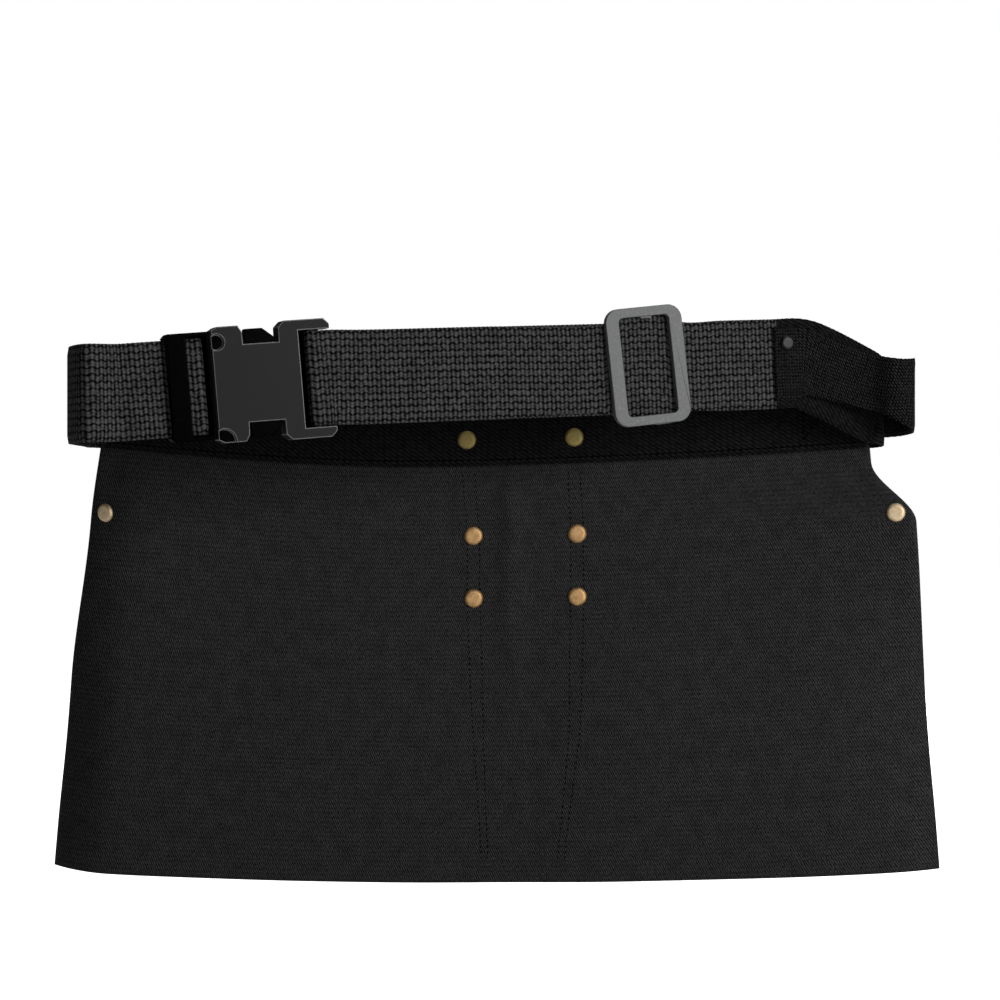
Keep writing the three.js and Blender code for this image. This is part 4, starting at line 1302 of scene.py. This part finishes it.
@dataclass
class HardPiece:
    """A moulded piece, finished from its CAD node with rounded edges.

    Attributes:
        node: its CAD node.
        slot: its material slot.
        radius: radius of its edges.
    """

    node: str
    slot: Slot
    radius: float

    def build(
        self, material: Material, rubbed_and_lit: Material | None = None, recess_shade: Material | None = None
    ) -> Object:
        """Makes the piece and dresses it.

        Args:
            material: its finish.
            rubbed_and_lit: the finish of its edges, where that differs; on the socket it is a pale painted
                highlight.
            recess_shade: the finish of the floors of the buckle's notches, where that differs: black gloss
                as painted shade.

        Returns:
            The piece.
        """
        bm = bmesh.new()
        bm.from_mesh(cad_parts[self.node].data)
        bmesh.ops.remove_doubles(bm, verts=bm.verts, dist=1e-6)
        bmesh.ops.dissolve_limit(bm, angle_limit=math.radians(2), verts=bm.verts, edges=bm.edges)
        bmesh.ops.recalc_face_normals(bm, faces=bm.faces)
        obj = shown(f"{self.node}_moulded", bm)
        mesh = obj.data
        bevel = obj.modifiers.new("rounding", "BEVEL")
        bevel.width = self.radius * MM
        bevel.segments = 3
        bevel.limit_method = "ANGLE"
        bevel.angle_limit = math.radians(28)
        bevel.use_clamp_overlap = False
        shading = obj.modifiers.new("even shading", "WEIGHTED_NORMAL")
        shading.weight = 80
        dress(obj, material, self.slot, self.node)
        # the bevel's rounded edges take the pale finish: painted highlight
        if rubbed_and_lit:
            mesh.materials.append(rubbed_and_lit)
            bevel.material = 1
        # faces set back from the socket's front and facing out take the black gloss: painted shade in the
        # notches
        if recess_shade:
            mesh.materials.append(recess_shade)
            to_buckle = BUCKLE_MATRIX.inverted()
            for face in mesh.polygons:
                place = to_buckle @ (face.center / MM)
                facing = to_buckle.to_3x3() @ face.normal
                if facing.y < -0.7 and place.y > -SOCKET_FRONT + 1:
                    face.material_index = 2
        return obj


@dataclass
class BuckleLips:
    """The thin back walls that close the buckle's slots behind the belt."""

    material: Material
    back: float = -5.75
    thickness: float = 1.0
    rounding: float = 0.3
    rail_inside: float = 1.6
    rail_outside: float = 2.2
    plug_rail: tuple[float, float] = (-24.0, -1.0)
    plug_wall: tuple[float, float] = (-7.0, -1.6)
    socket_rail_end: float = 60.0

    def wall(self, bm: bmesh.types.BMesh, along: tuple[float, float], up: tuple[float, float]) -> None:
        """Adds one wall to a mesh, between two places along the belt and two heights."""
        middle = ((along[0] + along[1]) / 2, -self.back + self.thickness / 2, (up[0] + up[1]) / 2)
        size = (along[1] - along[0], self.thickness, up[1] - up[0], 1)
        place = BUCKLE_MATRIX @ Matrix.Translation(middle) @ Matrix.Diagonal(size)
        bmesh.ops.create_cube(bm, size=1, matrix=Matrix.Scale(MM, 4) @ place)

    def piece(self, name: str, walls: Sequence[tuple[tuple[float, float], tuple[float, float]]]) -> Object:
        """Makes one half's walls as a piece."""
        bm = bmesh.new()
        for along, up in walls:
            self.wall(bm, along, up)
        width = self.rounding * MM
        bmesh.ops.bevel(
            bm, geom=list(bm.edges), offset=width, segments=2, affect="EDGES", profile=0.5, material=-1
        )
        return dress(shown(name, bm), self.material, Slot.BLACK_PLASTIC)

    def build(self) -> list[Object]:
        """Makes both halves' walls."""
        half = WEBBING_WIDTH / 2
        inner, outer = half - self.rail_inside, half + self.rail_outside
        rails = ((inner, outer), (-outer, -inner))
        plug = [(self.plug_rail, rail) for rail in rails] + [(self.plug_wall, (-half, half))]
        socket = [((BUCKLE_FACE - 1, self.socket_rail_end), rail) for rail in rails]
        socket.append(((BUCKLE_FACE - 1.5, SOCKET_BAR - 1.5), (-half, half)))
        return [self.piece("buckle_plug_lips", plug), self.piece("buckle_socket_lips", socket)]


@dataclass(frozen=True)
class SoftLight:
    """A soft light that faces the apron.

    Attributes:
        name: its name.
        place: where it stands, in metres.
        size: its width and height in metres.
        power: its power in watts.
    """

    name: str
    place: tuple[float, float, float]
    size: tuple[float, float]
    power: float

    def build(self) -> None:
        """Adds the light."""
        lamp = bpy.data.lights.new(self.name, "AREA")
        lamp.shape = "RECTANGLE"
        lamp.size, lamp.size_y = self.size
        lamp.energy = self.power
        obj = bpy.data.objects.new(self.name, lamp)
        obj.location = self.place
        towards = LIT_PLACE - Vector(self.place)
        obj.rotation_euler = towards.to_track_quat("-Z", "Y").to_euler()
        bpy.context.scene.collection.objects.link(obj)


LIT_PLACE = Vector((0, 0.03, -0.08))
LIGHTS = (
    SoftLight("key", (1.25, -1.3, 0.34), (0.7, 0.7), 30),
    SoftLight("fill", (0.35, -1.7, 0.25), (0.8, 0.8), 2.5),
    SoftLight("rim", (0.1, 0.2, 1.3), (1.4, 0.5), 9),
    SoftLight("back", (0.7, 1.7, 0.5), (0.9, 0.9), 26),
)


@dataclass
class Studio:
    """The white sweep, the soft lights and the camera at the photograph's angle."""

    distance: float = 1.43
    height: float = -0.044
    focal_pixels: float = 2609.0
    frame_pixels: float = 1000.0
    floor_height: float = -0.275
    floor_glow: float = 1.0
    floor_light: float = 0.06
    room_light: float = 0.06

    def floor(self) -> None:
        """Adds a plain pale floor below the hem."""
        bm = bmesh.new()
        bmesh.ops.create_grid(bm, x_segments=1, y_segments=1, size=6)
        floor = shown("floor", bm)
        floor.location = (0, 0, self.floor_height)
        shader = Shader("white_floor")
        white = linear("#ffffff")
        path = shader.add("LightPath").outputs["Is Camera Ray"]
        glow = shader.add("MapRange", {"Value": path, "To Min": self.floor_light, "To Max": self.floor_glow})
        surface = shader.add(
            "BsdfPrincipled",
            {
                "Base Color": linear("#f4f4f4"),
                "Roughness": 0.9,
                "Specular IOR Level": 0.0,
                "Emission Color": white,
                "Emission Strength": glow.outputs[0],
            },
        )
        floor.data.materials.append(shader.finish(surface))

    def sky(self) -> None:
        """Fills the room with even light, against a white backdrop."""
        world = bpy.data.worlds.new("white_room")
        world.use_nodes = True
        tree = world.node_tree
        path = tree.nodes.new("ShaderNodeLightPath")
        strength = tree.nodes.new("ShaderNodeMapRange")
        strength.inputs["To Min"].default_value = self.room_light
        strength.inputs["To Max"].default_value = 1.0
        tree.links.new(path.outputs["Is Camera Ray"], strength.inputs["Value"])
        background = tree.nodes["Background"]
        background.inputs["Color"].default_value = (1, 1, 1, 1)
        tree.links.new(strength.outputs[0], background.inputs["Strength"])
        bpy.context.scene.world = world

    def camera(self) -> None:
        """Adds the camera, level and square to the canvas."""
        data = bpy.data.cameras.new("camera")
        data.sensor_width = 36
        data.lens = self.focal_pixels / self.frame_pixels * data.sensor_width
        data.clip_start, data.clip_end = 0.1, 30
        obj = bpy.data.objects.new("camera", data)
        obj.location = (0, -self.distance, self.height)
        obj.rotation_euler = (math.pi / 2, 0, 0)
        bpy.context.scene.collection.objects.link(obj)
        bpy.context.scene.camera = obj

    def build(self) -> None:
        """Sets up the whole studio."""
        self.floor()
        self.sky()
        for light in LIGHTS:
            light.build()
        self.camera()
        bpy.context.scene.view_settings.view_transform = "Standard"


def canvas_pieces() -> list[CanvasPiece]:
    """All the canvas pieces, from the panel outwards."""
    return [
        CanvasPiece("back_panel", panel_surface, PANEL_THICKNESS, 240, 130, top_hem=0.5),
        CanvasPiece("centre_sleeve", SLEEVE, POUCH_THICKNESS, 50, 110, side_hem=4, foot_hem=4),
        CanvasPiece("left_pouch", LEFT_POUCH, POUCH_THICKNESS, 130, 100, side_hem=8, foot_hem=8),
        CanvasPiece("right_pouch", RIGHT_POUCH, POUCH_THICKNESS, 120, 100, side_hem=8, foot_hem=8),
        CanvasPiece("left_front_pocket", LEFT_POCKET, POUCH_THICKNESS, 80, 60, side_hem=8, foot_hem=8),
        CanvasPiece("right_front_pocket", RIGHT_POCKET, POUCH_THICKNESS, 76, 60, side_hem=8, foot_hem=8),
    ]


def seam_rows(thread: Material) -> Stitching:
    """The two double seams on the wearer's side of the panel."""
    stitching = Stitching("seam_stitches", thread, length=1.5, radius=0.3)
    v = np.linspace(0.17, 0.955, 120)
    for seam in (seam_left, seam_right):
        for beside in (-SEAM_HALF_GAUGE, SEAM_HALF_GAUGE):
            u = seam(v) + beside * (1 - 0.5 * smoothstep(v, 0.5, 0.95)) / BAND_LENGTH
            stitching.on_surface(panel_surface, u, v, -PANEL_THICKNESS / 2 - 0.05)
    return stitching


def pouch_rows(thread: Material) -> Stitching:
    """The rows along the pouches' and pockets' mouths, sides and feet, on the far side."""
    stitching = Stitching("pouch_stitches", thread, pitch=3.6, length=2.8)
    lift = POUCH_THICKNESS / 2 + 0.1
    # surface, the shares across of its left and right rows, and the share down of its mouth's row
    sheets = (
        (LEFT_POUCH, 0.03, 0.97, 0.045),
        (RIGHT_POUCH, 0.03, 0.97, 0.045),
        (LEFT_POCKET, 0.05, 0.95, 0.09),
        (RIGHT_POCKET, 0.05, 0.95, 0.09),
        (SLEEVE, 0.1, 0.9, 0.04),
    )
    for surface, left, right, mouth in sheets:
        across = np.linspace(left, right, 90)
        down = np.linspace(mouth, 0.975, 90)
        stitching.on_surface(surface, across, np.full_like(across, mouth), lift)
        stitching.on_surface(surface, across, np.full_like(across, 0.975), lift)
        for side in (left, right):
            stitching.on_surface(surface, np.full_like(down, side), down, lift)
    return stitching


def band_rows(thread: Material) -> Stitching:
    """The rows that sew the waistband to the panel, and the crossed boxes at its ends."""
    stitching = Stitching("band_stitches", thread, pitch=3.4, length=2.6)
    lift = WEBBING_THICKNESS / 2 + 0.05
    share = np.linspace(0.006, 0.994, 160)
    toward_wearer = band_point(share, -1) - band_point(share)
    for up in (-WEBBING_WIDTH / 2 + 3.2, WEBBING_WIDTH / 2 - 3.2):
        line = band_point(share, -lift) + np.array([0, 0, up])
        stitching.run(line, toward_wearer)
    overlap = STRAP_OVERLAP / BAND_LENGTH
    half = WEBBING_WIDTH / 2 - 6
    for start, end in ((0.012, overlap - 0.012), (1 - overlap + 0.012, 0.988)):
        boxed = (
            (start, end, -half, half),
            (start, end, half, -half),
            (start, start, -half, half),
            (end, end, -half, half),
        )
        for first, last, low, high in boxed:
            share = np.linspace(first, last, 30)
            line = band_point(share, -lift)
            line[:, 2] += np.linspace(low, high, 30)
            stitching.run(line, band_point(share, -1) - band_point(share))
    return stitching


def loop_rows(thread: Material) -> Stitching:
    """The bar tack that sews the hammer loop's lower corner to the belt."""
    stitching = Stitching("loop_tack", thread, pitch=1.1, length=1.6, radius=0.5)
    out = WEBBING_THICKNESS / 2 + GAP + LOOP_THICKNESS + 0.05
    for row in range(3):
        up = -14.5 - 1.1 * row
        line = np.array([near(along, out, up) for along in np.linspace(LOOP_START + 4, LOOP_START + 15, 12)])
        stitching.run(line, np.tile(np.array(near(0, 1) - near(0, 0)), (len(line), 1)))
    return stitching


def main() -> None:
    """Builds the apron's pieces in order and reports them."""
    logging.basicConfig(level=logging.INFO)
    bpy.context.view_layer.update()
    finish = {name: recipe.material() for name, recipe in FINISHES.items()}
    made = [piece.build(finish["canvas"]) for piece in canvas_pieces()]
    made += Belt(finish["belt"], finish["band"]).build()
    made.append(HammerLoop(finish["nylon"]).build())
    metals = [finish[name] for name in ("brass", "band_shade_brass", "brass_painted_light", "enamel")]
    made += Rivets(*metals).build()
    # the seam and band rows take the darker thread: painted shade
    made.append(seam_rows(finish["thread_painted_shade"]).build(Slot.CANVAS))
    made.append(pouch_rows(finish["thread"]).build(Slot.CANVAS))
    made.append(band_rows(finish["thread_painted_shade"]).build(Slot.WEBBING))
    made.append(loop_rows(finish["thread"]).build(Slot.NYLON))
    # the socket's rounded edges take a pale finish: painted highlight
    plastic, rubbed_and_lit, polished_and_shade = (finish[f"{name}_plastic"] for name in ("black", "rubbed_and_lit", "polished_and_shade"))
    # the socket's notch floors take the black gloss: painted shade
    made.append(HardPiece("buckle_socket", Slot.BLACK_PLASTIC, 0.5).build(plastic, rubbed_and_lit, polished_and_shade))
    made.append(HardPiece("buckle_plug", Slot.BLACK_PLASTIC, 0.5).build(polished_and_shade))
    made.append(HardPiece("strap_slider", Slot.GREY_PLASTIC, 0.45).build(finish["grey_plastic"]))
    made += BuckleLips(polished_and_shade).build()
    for obj in made:
        log.info("made %s", obj.name)
    Studio().build()


if __name__ == "__main__":
    main()
